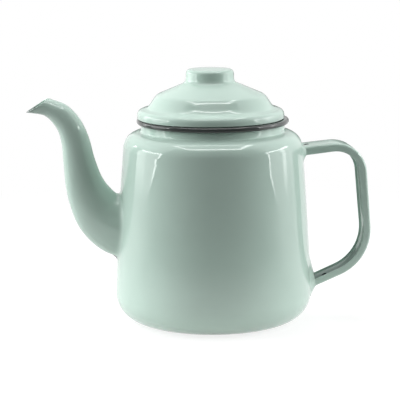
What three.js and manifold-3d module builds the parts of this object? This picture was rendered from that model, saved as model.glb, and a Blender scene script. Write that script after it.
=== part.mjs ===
// Enamelled steel teapot with a curved spout, a flat hollow handle and a lid that lifts off.
// Lengths are millimetres and +Z is up. The origin is the centre of the base. The spout points
// along -X and the handle along +X. An outline is a list of (radius, height) points.

import * as THREE from "three";
import { mergeVertices } from "three/addons/utils/BufferGeometryUtils.js";
import Module from "manifold-3d";

const wasm = await Module();
wasm.setup();

// Sheet thickness and clearances
const sheetWall = 0.9;
const trimWall = 0.6;
const seamGap = 0.3;
const collarClearance = 1.8;
const cutOverrun = 12;

// Pot
const potRadius = 70.4;
const potTopRadius = 64.1;
const baseCornerRadius = 18.8;
const sideTopHeight = 123.6;
const sideBulge = 0.65;
const shoulderRadius = 12.2;
const neckRadius = 51.2;
const neckFillet = 1.5;
const neckHeight = 21.4;

// Dark band on the rim, and the rolled edge that it grips
const rimRadius = 54.1;
const trimHeight = 3.5;
const trimEdgeRadius = 1.4;
const beadBevel = 0.6;

// Spout: reach and heights of its centre line, and its section at the pot and at the mouth
const spoutReach = 62.7;
const spoutRootHeight = 70.8;
const spoutTipHeight = 156.9;
const spoutRootDepth = 44.4;
const spoutRootWidth = 32;
const spoutTipSize = 12.8;
const spoutMouthSlope = 33;

// Strainer holes in the pot's wall behind the spout
const strainerHoleRadius = 1.7;
const strainerPitch = 6.2;
const strainerMargin = 3.4;

// Handle: corners of its centre line, measured out from the pot's side and up from the base
const handleTopReach = 35.1;
const handleTopHeight = 125.9;
const handleLowReach = 42.1;
const handleLowHeight = 42;
const upperArmSlope = 6;
const lowerArmSlope = 23.5;
const upperBendRadius = 20;
const lowerBendRadius = 33;
const handleWidth = 23.5;
const handleLowWidth = 18;
const handleDepth = 6.1;
const handleLowDepth = 4.8;
const handleEdgeRadius = 2;
const stripRecess = 0.9;
const ventRadius = 2;
const upperVentReach = 3.1;
const lowerVentReach = 10.9;

// Lid: how far it lies off centre in its clearance, its radii, and heights above its seat on the rim
const lidShift = 1.4;
const lidRadius = 52.3;
const lidSeatWidth = 1.8;
const tierHeight = 6.5;
const tierCornerRadius = 4;
const valleyRadius = 46.9;
const valleyHeight = 7.15;
const domeRadius = 37.3;
const domeHeight = 17.1;
const crownRadius = 15;
const crownHeight = 27.2;
const crownTopRadius = 9;
const crownTopHeight = 28.7;
const knobVentRadius = 3;
const collarDepth = 13;
const collarLeadIn = 0.8;
const collarLeadHeight = 2.5;

// Knob
const knobRadius = 17.3;
const knobTopHeight = 35.1;
const knobEdgeRadius = 2.4;
const knobFlare = 1.4;
const knobFlareHeight = 2;

// Shares of the spout's reach and rise, and of its taper in depth and width, along its length
const spoutShares = [
  [-0.16, -0.025, 1.19, 1.12],
  [0, 0, 1, 1],
  [0.157, 0.079, 0.8, 0.854],
  [0.275, 0.207, 0.6, 0.703],
  [0.344, 0.333, 0.455, 0.573],
  [0.399, 0.519, 0.31, 0.443],
  [0.44, 0.687, 0.24, 0.333],
  [0.507, 0.815, 0.195, 0.292],
  [0.613, 0.912, 0.139, 0.214],
  [0.748, 0.968, 0.034, 0.052],
  [0.889, 0.994, 0.003, 0.005],
  [1, 1, 0, 0],
  [1.12, 0.996, 0, 0],
];

// Share of the pot's radius at which the handle's arms start, inside the wall that trims them
const armStartShare = 0.78;

// Places of the curve handles between the lid's valley and its dome, as shares inwards and up
const valleyCurveShares = [0.43, 0.05];
const domeCurveShares = [0.61, 0.81];

// Facets and steps
const potSides = 44;
const knobSides = 26;
const holeSides = 8;
const arcSteps = 4;
const edgeSteps = 3;
const spoutSides = 16;
const spoutSteps = 26;

// Colours and finishes
const enamelColour = 0xc2dacf;
const bandColour = 0x454948;
const enamelRoughness = 0.16;

// Sizes that follow from the ones above
const footRadius = potRadius - baseCornerRadius;
const mouthRadius = neckRadius - sheetWall;
const mouthHeight = sideTopHeight + neckHeight;
const beadRadius = rimRadius - trimWall - seamGap;
const beadTop = mouthHeight - trimWall - seamGap;
const trimBottom = mouthHeight - trimHeight;
const beadBottom = trimBottom + trimWall + seamGap;
const lidSeat = mouthHeight + seamGap;
const coneSlope = (crownHeight - domeHeight) / (domeRadius - crownRadius);

const radians = THREE.MathUtils.degToRad;

function at(radius, height) {
  return new THREE.Vector2(radius, height);
}

function arc(radius, height, size, from, to, steps) {
  const clockwise = to < from;
  const curve = new THREE.EllipseCurve(radius, height, size, size, radians(from), radians(to), clockwise);
  return curve.getPoints(steps);
}

// An outline without the points that repeat the one before them.
function distinct(points) {
  const least = sheetWall / 100;
  return points.filter((point, i) => i === 0 || point.distanceTo(points[i - 1]) > least);
}

// The line beside an outline at a distance, to the left of the way it runs.
function beside(outline, distance) {
  const sideways = outline.slice(1).map((point, i) => {
    const along = point.clone().sub(outline[i]).normalize();
    return at(-along.y, along.x);
  });
  return outline.map((point, i) => {
    const before = sideways[Math.max(i - 1, 0)];
    const after = sideways[Math.min(i, sideways.length - 1)];
    const both = before.clone().add(after);
    return point.clone().addScaledVector(both, (2 * distance) / both.lengthSq());
  });
}

// The closed section of a sheet whose outer face follows an outline.
function sheetSection(outline, wall) {
  return [...outline, ...beside(outline, wall).reverse(), outline[0].clone()];
}

function solidOf(geometry) {
  geometry.deleteAttribute("normal");
  geometry.deleteAttribute("uv");
  const merged = mergeVertices(geometry);
  return new wasm.Manifold(
    new wasm.Mesh({
      numProp: 3,
      vertProperties: merged.attributes.position.array,
      triVerts: new Uint32Array(merged.index.array),
    }),
  );
}

function turned(section, sides) {
  return solidOf(new THREE.LatheGeometry(section, sides).rotateX(Math.PI / 2));
}

// A section of (y, outward) points carried along stations in the plane y = 0. Each station has
// its place and its outward direction, and its own section.
function swept(stations) {
  const count = stations[0].section.length;
  const places = [];
  for (const { place, outward, section } of stations) {
    for (const point of section) {
      places.push(
        place.x + outward.x * point.y,
        point.x,
        place.z + outward.z * point.y,
      );
    }
  }
  const faces = [];
  for (let k = 0; k + 1 < stations.length; k++) {
    for (let i = 0; i < count; i++) {
      const here = k * count + i;
      const next = k * count + ((i + 1) % count);
      faces.push(here, next, next + count, here, next + count, here + count);
    }
  }
  const last = (stations.length - 1) * count;
  for (const [a, b, c] of THREE.ShapeUtils.triangulateShape(stations[0].section, [])) {
    faces.push(c, b, a);
  }
  for (const [a, b, c] of THREE.ShapeUtils.triangulateShape(stations.at(-1).section, [])) {
    faces.push(last + a, last + b, last + c);
  }
  const geometry = new THREE.BufferGeometry();
  geometry.setAttribute("position", new THREE.Float32BufferAttribute(places, 3));
  geometry.setIndex(faces);
  return solidOf(geometry);
}

// A round cutter between two points.
function drill(radius, from, to) {
  const along = to.clone().sub(from);
  const geometry = new THREE.CylinderGeometry(radius, radius, along.length(), holeSides);
  const up = new THREE.Vector3(0, 1, 0);
  geometry.applyQuaternion(new THREE.Quaternion().setFromUnitVectors(up, along.clone().normalize()));
  const middle = from.clone().add(to).divideScalar(2);
  return solidOf(geometry.translate(middle.x, middle.y, middle.z));
}

function enamelledSteel() {
  return new THREE.MeshStandardMaterial({ color: enamelColour, roughness: enamelRoughness, metalness: 0 });
}

function darkEnamel() {
  return new THREE.MeshStandardMaterial({ color: bandColour, roughness: enamelRoughness, metalness: 0 });
}

function piece(name, solid, material) {
  const { vertProperties, triVerts } = solid.getMesh();
  const geometry = new THREE.BufferGeometry();
  geometry.setAttribute("position", new THREE.BufferAttribute(vertProperties, 3));
  geometry.setIndex(new THREE.BufferAttribute(triVerts, 1));
  geometry.computeVertexNormals();
  const mesh = new THREE.Mesh(geometry, material);
  mesh.name = name;
  return mesh;
}

// Radius of the pot's side at a height.
function sideRadius(height) {
  const rise = (height - baseCornerRadius) / (sideTopHeight - baseCornerRadius);
  const share = THREE.MathUtils.clamp(rise, 0, 1);
  return THREE.MathUtils.lerp(potRadius, potTopRadius, share) + 4 * sideBulge * share * (1 - share);
}

// Outer face of the pot, from the centre of its base to the rolled edge of its neck.
function potOutline() {
  const shoulderCentre = potTopRadius - shoulderRadius;
  const filletOffset = neckRadius + neckFillet - shoulderCentre;
  const filletRise = Math.sqrt((shoulderRadius + neckFillet) ** 2 - filletOffset ** 2);
  const blend = THREE.MathUtils.radToDeg(Math.atan2(filletRise, filletOffset));
  const side = new THREE.QuadraticBezierCurve(
    at(potRadius, baseCornerRadius),
    at((potRadius + potTopRadius) / 2 + 2 * sideBulge, (baseCornerRadius + sideTopHeight) / 2),
    at(potTopRadius, sideTopHeight),
  );
  return distinct([
    at(0, 0),
    ...arc(footRadius, baseCornerRadius, baseCornerRadius, -90, 0, arcSteps),
    ...side.getPoints(edgeSteps),
    ...arc(shoulderCentre, sideTopHeight, shoulderRadius, 0, blend, arcSteps),
    ...arc(neckRadius + neckFillet, sideTopHeight + filletRise, neckFillet, blend + 180, 180, edgeSteps),
    at(neckRadius, beadBottom),
  ]);
}

// The room that the pot takes up with a seam round it, for trimming what is welded to its side.
function potWithSeam() {
  return turned([...beside(potOutline(), -seamGap), at(0, beadBottom)], potSides);
}

function strainerHoles() {
  const rowPitch = (strainerPitch * Math.sqrt(3)) / 2;
  const depthRoom = spoutRootDepth / 2 - sheetWall - strainerMargin;
  const widthRoom = spoutRootWidth / 2 - sheetWall - strainerMargin;
  const rows = Math.floor(depthRoom / rowPitch);
  const inside = new THREE.Vector3(-potTopRadius + cutOverrun, 0, 0);
  const outside = new THREE.Vector3(-potRadius - cutOverrun, 0, 0);
  const cutters = [];
  for (let row = -rows; row <= rows; row++) {
    const up = row * rowPitch;
    const room = widthRoom * Math.sqrt(1 - (up / depthRoom) ** 2);
    const shift = row % 2 === 0 ? 0 : strainerPitch / 2;
    const columns = Math.floor((room - shift) / strainerPitch);
    for (let column = -columns - (shift > 0 ? 1 : 0); column <= columns; column++) {
      const place = new THREE.Vector3(0, column * strainerPitch + shift, spoutRootHeight + up);
      cutters.push(drill(strainerHoleRadius, inside.clone().add(place), outside.clone().add(place)));
    }
  }
  return cutters;
}

function potBody() {
  const outer = potOutline();
  const section = [
    ...outer,
    at(beadRadius - beadBevel, beadBottom),
    at(beadRadius, beadBottom + beadBevel),
    at(beadRadius, beadTop - beadBevel),
    at(beadRadius - beadBevel, beadTop),
    at(mouthRadius, beadTop),
    ...beside(outer, sheetWall).reverse(),
  ];
  const shell = turned(section, potSides);
  const drilled = strainerHoles().reduce((solid, cutter) => solid.subtract(cutter), shell);
  return piece("pot_body", drilled, enamelledSteel());
}

// Thin strip in dark enamel, closed over the rolled edge of the neck.
function rimTrim() {
  const corner = rimRadius - trimEdgeRadius;
  const outline = distinct([
    at(neckRadius + seamGap, trimBottom),
    ...arc(corner, trimBottom + trimEdgeRadius, trimEdgeRadius, -90, 0, edgeSteps),
    ...arc(corner, mouthHeight - trimEdgeRadius, trimEdgeRadius, 0, 90, edgeSteps),
    at(mouthRadius, mouthHeight),
  ]);
  return piece("rim_trim", turned(sheetSection(outline, trimWall), potSides), darkEnamel());
}

// Half of the spout's oval section, on the side of the pot that the sign names.
function spoutHalfSection(depth, width, sign) {
  const steps = spoutSides / 2;
  const points = [];
  for (const [inset, order] of [[0, 1], [sheetWall, -1]]) {
    for (let i = 0; i <= steps; i++) {
      const angle = (Math.PI * (order > 0 ? i : steps - i)) / steps;
      const across = i % steps === 0 ? 0 : sign * Math.sin(angle) * (width / 2 - inset);
      points.push(at(across, -sign * Math.cos(angle) * (depth / 2 - inset)));
    }
  }
  return points;
}

function spoutStations(sign) {
  const rise = spoutTipHeight - spoutRootHeight;
  const centre = new THREE.CatmullRomCurve3(
    spoutShares.map(([along, up]) => {
      return new THREE.Vector3(-potRadius - along * spoutReach, 0, spoutRootHeight + up * rise);
    }),
  );
  const sizes = new THREE.CatmullRomCurve3(
    spoutShares.map(([, , depth, width]) => {
      const spare = new THREE.Vector3(spoutRootDepth - spoutTipSize, spoutRootWidth - spoutTipSize, 0);
      return new THREE.Vector3(depth, width, 0).multiply(spare).addScalar(spoutTipSize);
    }),
  );
  const across = new THREE.Vector3(0, 1, 0);
  return Array.from({ length: spoutSteps + 1 }, (_, i) => {
    const share = i / spoutSteps;
    const size = sizes.getPoint(share);
    return {
      place: centre.getPoint(share),
      outward: centre.getTangent(share).cross(across),
      section: spoutHalfSection(size.x, size.y, sign),
    };
  });
}

// Block that leaves the spout's mouth cut on a slope, with its pouring lip lowest and foremost.
function mouthCutter() {
  const size = spoutTipSize * 4;
  const slope = radians(spoutMouthSlope);
  const block = new THREE.BoxGeometry(size, size, size).translate(size / 2 - cutOverrun, 0, size / 2);
  block.rotateY(-slope);
  block.translate(-potRadius - spoutReach, 0, spoutTipHeight - spoutTipSize / 2);
  return solidOf(block);
}

function spoutHalf(name, sign) {
  const half = swept(spoutStations(sign)).subtract(potWithSeam()).subtract(mouthCutter());
  return piece(name, half, enamelledSteel());
}

// Corners of the handle's centre line, with its arms run on into the pot.
function handleCorners() {
  const top = at(potRadius + handleTopReach, handleTopHeight);
  const low = at(potRadius + handleLowReach, handleLowHeight);
  const start = potRadius * armStartShare;
  return [
    at(start, top.y - (top.x - start) * Math.tan(radians(upperArmSlope))),
    top,
    low,
    at(start, low.y - (low.x - start) * Math.tan(radians(lowerArmSlope))),
  ];
}

// Points round a bend of a set radius between two straight stretches.
function bend(before, corner, after, radius) {
  const back = before.clone().sub(corner).normalize();
  const on = after.clone().sub(corner).normalize();
  const half = Math.acos(back.dot(on)) / 2;
  const centre = corner.clone().addScaledVector(back.clone().add(on).normalize(), radius / Math.sin(half));
  const first = corner.clone().addScaledVector(back, radius / Math.tan(half)).sub(centre);
  const steps = 2 * arcSteps;
  return Array.from({ length: steps + 1 }, (_, i) => {
    const angle = (-(Math.PI - 2 * half) * i) / steps;
    return first.clone().rotateAround(at(0, 0), angle).add(centre);
  });
}

function handleLine() {
  const [start, top, low, end] = handleCorners();
  return [
    start,
    ...bend(start, top, low, upperBendRadius),
    ...bend(top, low, end, lowerBendRadius),
    end,
  ];
}

// A section swept along the handle, which thins and narrows evenly from its upper to its lower end.
function handleSweep(sectionOf) {
  const line = handleLine();
  const outer = beside(line, 1);
  const runs = line.map((point, i) => point.distanceTo(line[Math.max(i - 1, 0)]));
  const whole = runs.reduce((sum, run) => sum + run);
  let gone = 0;
  const stations = line.map((point, i) => {
    gone += runs[i];
    const outward = outer[i].clone().sub(point);
    const depth = THREE.MathUtils.lerp(handleDepth, handleLowDepth, gone / whole);
    const width = THREE.MathUtils.lerp(handleWidth, handleLowWidth, gone / whole);
    return {
      place: new THREE.Vector3(point.x, 0, point.y),
      outward: new THREE.Vector3(outward.x, 0, outward.y),
      section: sectionOf(depth, width),
    };
  });
  return swept(stations).subtract(potWithSeam());
}

// Point on one of the handle's arms at a distance out from the pot's side.
function armPoint(corner, slope, reach) {
  const heightAt = (x) => corner.y - (corner.x - x) * Math.tan(radians(slope));
  const x = sideRadius(heightAt(potRadius)) + reach;
  return new THREE.Vector3(x, 0, heightAt(x));
}

// Pressed channel that forms the handle's back and both sides, open towards the hand.
function handleChannel() {
  const channel = handleSweep((depth, width) => {
    const back = depth / 2;
    const side = width / 2;
    const corner = side - handleEdgeRadius;
    const outline = [
      at(side, -back),
      ...arc(corner, back - handleEdgeRadius, handleEdgeRadius, 0, 90, edgeSteps),
      ...arc(-corner, back - handleEdgeRadius, handleEdgeRadius, 90, 180, edgeSteps),
      at(-side, -back),
    ];
    return [...outline, ...beside(outline, sheetWall).reverse()];
  });
  const [, top] = handleCorners();
  const vent = armPoint(top, upperArmSlope, upperVentReach);
  const above = vent.clone().add(new THREE.Vector3(0, 0, handleDepth));
  return piece("handle_channel", channel.subtract(drill(ventRadius, vent, above)), enamelledSteel());
}

// Flat strip that closes the channel, set in a little from its lips.
function handleInnerStrip() {
  const strip = handleSweep((depth, width) => {
    const side = width / 2 - sheetWall - seamGap;
    const face = stripRecess - depth / 2;
    return [
      at(-side, face),
      at(side, face),
      at(side, face + sheetWall),
      at(-side, face + sheetWall),
    ];
  });
  const [, , low] = handleCorners();
  const vent = armPoint(low, lowerArmSlope, lowerVentReach);
  const slope = radians(lowerArmSlope);
  const towardsHand = new THREE.Vector3(-Math.sin(slope), 0, Math.cos(slope));
  const above = vent.clone().addScaledVector(towardsHand, handleDepth);
  return piece("handle_inner_strip", strip.subtract(drill(ventRadius, vent, above)), enamelledSteel());
}

// Outer face of the lid's cover, from its turned-in edge to the vent under the knob.
function lidOutline() {
  const valley = at(valleyRadius, lidSeat + valleyHeight);
  const dome = at(domeRadius, lidSeat + domeHeight);
  const [firstIn, firstUp] = valleyCurveShares;
  const [secondIn, secondUp] = domeCurveShares;
  const between = (inwards, up) => {
    return at(THREE.MathUtils.lerp(valley.x, dome.x, inwards), THREE.MathUtils.lerp(valley.y, dome.y, up));
  };
  const rise = new THREE.CubicBezierCurve(
    valley,
    between(firstIn, firstUp),
    between(secondIn, secondUp),
    dome,
  );
  const crown = at(crownRadius, lidSeat + crownHeight);
  const crownTop = at(crownTopRadius, lidSeat + crownTopHeight);
  const crownCorner = at(crownRadius - (crownTopHeight - crownHeight) / coneSlope, crownTop.y);
  return distinct([
    at(lidRadius - lidSeatWidth, lidSeat),
    at(lidRadius, lidSeat),
    ...arc(
      lidRadius - tierCornerRadius,
      lidSeat + tierHeight - tierCornerRadius,
      tierCornerRadius,
      0,
      90,
      arcSteps,
    ),
    ...rise.getPoints(arcSteps + 1),
    ...new THREE.QuadraticBezierCurve(crown, crownCorner, crownTop).getPoints(edgeSteps),
    at(knobVentRadius, crownTop.y),
  ]);
}

function lidCover() {
  return piece("lid_cover", turned(sheetSection(lidOutline(), sheetWall), potSides), enamelledSteel());
}

// Ring inside the lid that drops into the neck and keeps the lid on while pouring.
function lidCollar() {
  const radius = mouthRadius - collarClearance;
  const bottom = lidSeat - collarDepth;
  const top = lidSeat + tierHeight - sheetWall - seamGap;
  const outline = [
    at(radius - collarLeadIn, bottom),
    at(radius, bottom + collarLeadHeight),
    at(radius, top),
  ];
  return piece("lid_collar", turned(sheetSection(outline, sheetWall), potSides), enamelledSteel());
}

// Hollow cap on the crown of the lid, trimmed to the slope that it stands on.
function lidKnob() {
  const coneAt = (radius) => lidSeat + crownHeight + (crownRadius - radius) * coneSlope;
  const foot = at(knobRadius + knobFlare, coneAt(knobRadius + knobFlare));
  const neck = at(knobRadius, coneAt(knobRadius) + knobFlareHeight);
  const top = lidSeat + knobTopHeight;
  const outline = distinct([
    ...new THREE.QuadraticBezierCurve(foot, at(knobRadius, coneAt(knobRadius)), neck).getPoints(edgeSteps),
    ...arc(knobRadius - knobEdgeRadius, top - knobEdgeRadius, knobEdgeRadius, 0, 90, edgeSteps),
    at(0, top),
  ]);
  const lidWithSeam = turned(
    [at(0, lidSeat), ...beside(lidOutline(), -seamGap), at(0, lidSeat + crownTopHeight + seamGap)],
    knobSides,
  );
  const cap = turned(sheetSection(outline, sheetWall), knobSides).subtract(lidWithSeam);
  return piece("lid_knob", cap, enamelledSteel());
}

const pot = new THREE.Group();
pot.add(
  potBody(),
  rimTrim(),
  spoutHalf("spout_left_half", -1),
  spoutHalf("spout_right_half", 1),
  handleChannel(),
  handleInnerStrip(),
);

const lid = new THREE.Group();
lid.add(lidCover(), lidCollar(), lidKnob());
lid.position.x = -lidShift;

const teapot = new THREE.Group();
teapot.add(pot, lid);

export default teapot;
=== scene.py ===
# Finish of an enamelled steel teapot with a curved spout, a flat hollow handle and a loose lid.
# Lengths are metres and +Z is up. The origin is the centre of the base. The spout points along -X
# and the handle along +X. An outline is a list of (radius, height) points.

import math

import bmesh
import bpy
from mathutils import Matrix, Vector


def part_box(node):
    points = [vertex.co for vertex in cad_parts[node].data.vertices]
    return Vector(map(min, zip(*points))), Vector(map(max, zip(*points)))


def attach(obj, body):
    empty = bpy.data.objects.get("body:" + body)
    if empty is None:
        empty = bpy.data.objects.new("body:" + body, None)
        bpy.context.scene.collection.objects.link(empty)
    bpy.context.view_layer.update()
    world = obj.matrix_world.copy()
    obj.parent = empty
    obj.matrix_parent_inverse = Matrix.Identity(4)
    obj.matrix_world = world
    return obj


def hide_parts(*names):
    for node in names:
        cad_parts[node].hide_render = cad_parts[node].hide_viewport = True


bl_info = {
    "name": "Enamel Teapot",
    "version": (1, 0, 0),
    "blender": (4, 5, 0),
    "location": "3D View > Sidebar > Teapot",
    "description": "Makes the pieces, finishes and stage of an enamelled steel teapot",
    "category": "Object",
}

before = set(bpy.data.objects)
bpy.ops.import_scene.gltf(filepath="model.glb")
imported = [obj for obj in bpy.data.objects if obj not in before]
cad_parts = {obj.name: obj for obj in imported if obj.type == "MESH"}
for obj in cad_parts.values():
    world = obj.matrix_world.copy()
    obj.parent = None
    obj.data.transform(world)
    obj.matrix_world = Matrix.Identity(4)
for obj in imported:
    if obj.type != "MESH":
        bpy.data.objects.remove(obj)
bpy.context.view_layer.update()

# Corners of the solids that some of the sizes follow
_, pot_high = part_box("pot_body")
trim_low, trim_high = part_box("rim_trim")
lid_low, lid_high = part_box("lid_cover")
collar_low, collar_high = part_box("lid_collar")
_, knob_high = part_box("lid_knob")
spout_low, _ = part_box("spout_left_half")

MM = 0.001
UP = Vector((0, 0, 1))
ACROSS = Vector((0, 1, 0))

# Steps of the fine surfaces
TURNED_SIDES = 192
ARC_STEP = math.radians(7)
CURVE_STEPS = 24
NECK_EDGE_STEPS = 6
SPOUT_HALF_SIDES = 40
SPOUT_RINGS = 110
MOUTH_STEPS = 8
UPRIGHT_STEPS = 12
WELD_STEPS = 10
DISH_STEPS = 16
FLARE_STEPS = 10
HOLE_SIDES = 24
VENT_SIDES = 32
# How often the search for a place on a line halves its range
HALVINGS = 40

# Distances within which points are the same: on an outline, a turned surface and a finished mesh
SAME_POINT, SAME_RING, SAME_VERTEX = MM / 100, MM / 200, MM / 500
# How near the middle plane the vertices on it are, and how much of the normal points across on the
# faces in it
ON_PLANE, PLANE_NORMAL_SHARE = MM / 1000, 0.9
SHARP_ANGLE = math.radians(32)

# Radius of a cut edge, as a share of the sheet's thickness
LIP_SHARE = 0.45
# How much further in than the solid's mouth the spout's mouth is cut
LIP_INSET = 1.3 * MM
# Distance between the rows of the strainer's holes, as a share of the distance between the holes
ROW_PITCH_SHARE = math.sqrt(3) / 2
# Attributes by which the handle's tree tapers a piece
TAPER_ATTRIBUTES = {"along": "FLOAT", "side": "FLOAT", "back": "FLOAT", "outward": "FLOAT_VECTOR"}


def length(label, description, millimetres):
    """A length that the user can change, with its default in millimetres."""
    return bpy.props.FloatProperty(
        name=label,
        description=description,
        default=millimetres * MM,
        min=0,
        precision=4,
        unit="LENGTH",
        subtype="DISTANCE",
    )


def slope(label, description, degrees):
    """An angle that the user can change, with its default in degrees."""
    return bpy.props.FloatProperty(
        name=label,
        description=description,
        default=math.radians(degrees),
        unit="ROTATION",
        subtype="ANGLE",
    )


def linear(code):
    """Turns an sRGB hex value into linear colour."""
    shares = [(code >> shift & 255) / 255 for shift in (16, 8, 0)]
    return [s / 12.92 if s <= 0.04045 else ((s + 0.055) / 1.055) ** 2.4 for s in shares] + [1.0]


def colour(label, description, code):
    """A colour that the user can change, with its default as an sRGB hex value."""
    return bpy.props.FloatVectorProperty(
        name=label,
        description=description,
        default=linear(code),
        size=4,
        min=0,
        max=1,
        subtype="COLOR",
    )


class TeapotPotSettings(bpy.types.PropertyGroup):
    sheet: length("Sheet", "Thickness of the enamelled sheet", 0.9)
    base_corner: length("Base corner", "Radius of the corner round the base", 18.8)
    side_top_radius: length("Side top radius", "Radius where the side meets the shoulder", 64.1)
    side_top: length("Side top", "Height where the side meets the shoulder", 123.6)
    side_bulge: length("Side bulge", "How far the side swells beyond a straight one", 0.65)
    shoulder: length("Shoulder", "Radius of the shoulder's curve", 12.2)
    neck_radius: length("Neck radius", "Outer radius of the neck", 51.2)
    neck_fillet: length("Neck fillet", "Radius where the shoulder turns up into the neck", 1.5)
    seam: length("Seam", "Clearance that the pressed pieces leave each other", 0.3)
    trim_sheet: length("Trim sheet", "Thickness of the dark band on the rim", 0.6)
    trim_edge: length("Trim edge", "Radius of the band's rolled edges", 1.4)
    hole_radius: length("Strainer hole radius", "Radius of a hole behind the spout", 1.7)
    hole_pitch: length("Strainer pitch", "Distance between the strainer's holes", 6.2)
    hole_margin: length("Strainer margin", "Distance from the holes to the spout's wall", 3.4)


class TeapotSpoutSettings(bpy.types.PropertyGroup):
    root_height: length("Root height", "Height of the centre of the spout's root", 70.8)
    tip_height: length("Tip height", "Height of the centre of the spout's tip", 157.5)
    root_depth: length("Root depth", "Height of the spout's section at the pot", 44.4)
    root_width: length("Root width", "Width of the spout's section at the pot", 32)
    tip_size: length("Tip size", "Diameter of the spout at its tip", 12.8)
    mouth_slope: slope("Mouth slope", "Slope of the spout's mouth", 33)
    mouth_sag: length("Mouth sag", "How far the mouth's edge dips between its ends", 0.6)
    fillet: length("Root fillet", "Reach of the smooth weld round the spout's root", 3.2)
    # The mouth's edge is darkened near the tip: ground coat where the enamel is thin, and painted shade for
    # the shaded inside of the mouth
    coat_and_shade_edge: length("Bare edge", "How far from the tip the mouth's edge shows the ground coat", 11)


class TeapotHandleSettings(bpy.types.PropertyGroup):
    top_reach: length("Top reach", "Upper corner's distance from the pot's side", 35.1)
    top_height: length("Top height", "Height of the upper corner of the centre line", 125.9)
    low_reach: length("Low reach", "Lower corner's distance from the pot's side", 42)
    low_height: length("Low height", "Height of the lower corner of the centre line", 42)
    upper_slope: slope("Upper arm slope", "Rise of the upper arm away from the pot", 6)
    lower_slope: slope("Lower arm slope", "Rise of the lower arm away from the pot", 23.5)
    upper_bend: length("Upper bend", "Radius of the upper bend", 20)
    lower_bend: length("Lower bend", "Radius of the lower bend", 33)
    width: length("Upper width", "Width of the handle at its upper end", 23.5)
    low_width: length("Lower width", "Width of the handle at its lower end", 18)
    depth: length("Upper depth", "Depth of the handle at its upper end", 6.1)
    low_depth: length("Lower depth", "Depth of the handle at its lower end", 4.8)
    edge: length("Edge", "Radius of the channel's outer edges", 2)
    recess: length("Strip recess", "How far the strip lies below the channel's lips", 0.9)
    dish: length("Strip dish", "How deep the strip is dished across its width", 1)
    vent_radius: length("Vent radius", "Radius of the firing vents", 2)
    upper_vent: length("Upper vent reach", "Upper vent's distance from the pot's side", 3.1)
    lower_vent: length("Lower vent reach", "Lower vent's distance from the pot's side", 10.9)


class TeapotLidSettings(bpy.types.PropertyGroup):
    seat_width: length("Seat width", "Width of the edge that is turned in on the rim", 1.8)
    tier_height: length("Tier height", "Height of the outer tier", 6.5)
    tier_corner: length("Tier corner", "Radius of the outer tier's edge", 4)
    valley_radius: length("Valley radius", "Radius where the dome starts to rise", 46.9)
    valley_height: length("Valley height", "Height where the dome starts to rise", 7.15)
    dome_radius: length("Dome radius", "Radius where the dome turns into a cone", 37.3)
    dome_height: length("Dome height", "Height where the dome turns into a cone", 17.1)
    crown_radius: length("Crown radius", "Radius where the cone flattens", 15)
    crown_height: length("Crown height", "Height where the cone flattens", 26.7)
    crown_top_radius: length("Crown top radius", "Radius of the flat under the knob", 9)
    crown_top_height: length("Crown top height", "Height of the flat under the knob", 28.2)
    vent_radius: length("Vent radius", "Radius of the vent under the knob", 3)
    knob_offset: length("Knob offset", "How far the knob sits to the spout's side of the lid", 0.4)
    knob_radius: length("Knob radius", "Radius of the knob", 17)
    knob_edge: length("Knob edge", "Radius of the knob's top edge", 3)
    knob_crown: length("Knob crown", "How far the knob's top rises to its middle", 0.3)
    knob_flare: length("Knob flare", "How far the knob's foot flares out", 2.2)
    knob_flare_height: length("Knob flare height", "Height of the flare of the knob's foot", 3.4)
    collar_lead: length("Collar lead-in", "How far the collar's lower edge draws in", 0.8)
    collar_lead_height: length("Collar lead height", "Height of the collar's lead-in", 2.5)


class TeapotFinishSettings(bpy.types.PropertyGroup):
    enamel: colour("Enamel", "Colour of the glassy top coat", 0xC2DACF)
    # The ground coat's colour also serves as painted shade on the handle's strip and the spout's mouth
    ground_coat_and_shade: colour("Ground coat", "Dark first coat that shows where the top coat is thin", 0x343B3E)
    rim: colour("Rim", "Colour of the dark enamel on the rim", 0x454948)
    floor: colour("Floor", "Colour of the floor round the teapot", 0xECECEA)


class TeapotStageSettings(bpy.types.PropertyGroup):
    camera_distance: length("Camera distance", "Distance from the teapot's middle along the floor", 1160)
    camera_height: length("Camera height", "Height of the camera above the floor", 299)
    camera_shift: length("Camera offset", "How far the camera stands to the spout's side", 9.4)
    camera_turn: slope("Camera turn", "How far the teapot's spout side is turned to the camera", 4.5)
    camera_pitch: slope("Camera pitch", "How far the camera looks down", 10.42)
    camera_roll: slope("Camera roll", "How far the camera leans", 0.39)
    focal_length: bpy.props.FloatProperty(
        name="Focal length",
        description="Focal length of the lens in millimetres",
        default=147.7,
        min=1,
        unit="CAMERA",
    )
    ambient: bpy.props.FloatProperty(
        name="Ambient",
        description="Strength of the even light from all round",
        default=0.19,
        min=0,
    )


class TeapotSettings(bpy.types.PropertyGroup):
    pot: bpy.props.PointerProperty(type=TeapotPotSettings)
    spout: bpy.props.PointerProperty(type=TeapotSpoutSettings)
    handle: bpy.props.PointerProperty(type=TeapotHandleSettings)
    lid: bpy.props.PointerProperty(type=TeapotLidSettings)
    finish: bpy.props.PointerProperty(type=TeapotFinishSettings)
    stage: bpy.props.PointerProperty(type=TeapotStageSettings)


# Outlines

def at(x, y):
    """A point of a flat outline."""
    return Vector((x, y))


def clamped(share):
    """The share, kept between 0 and 1."""
    return min(max(share, 0), 1)


def turned_about(point, centre, angle):
    return centre + Matrix.Rotation(angle, 2) @ (point - centre)


def arc(centre, radius, first, last):
    """Points on an arc between two directions, given in degrees."""
    first, last = math.radians(first), math.radians(last)
    steps = max(2, math.ceil(abs(last - first) / ARC_STEP))
    angles = [first + (last - first) * i / steps for i in range(steps + 1)]
    return [centre + radius * at(math.cos(angle), math.sin(angle)) for angle in angles]


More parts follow.
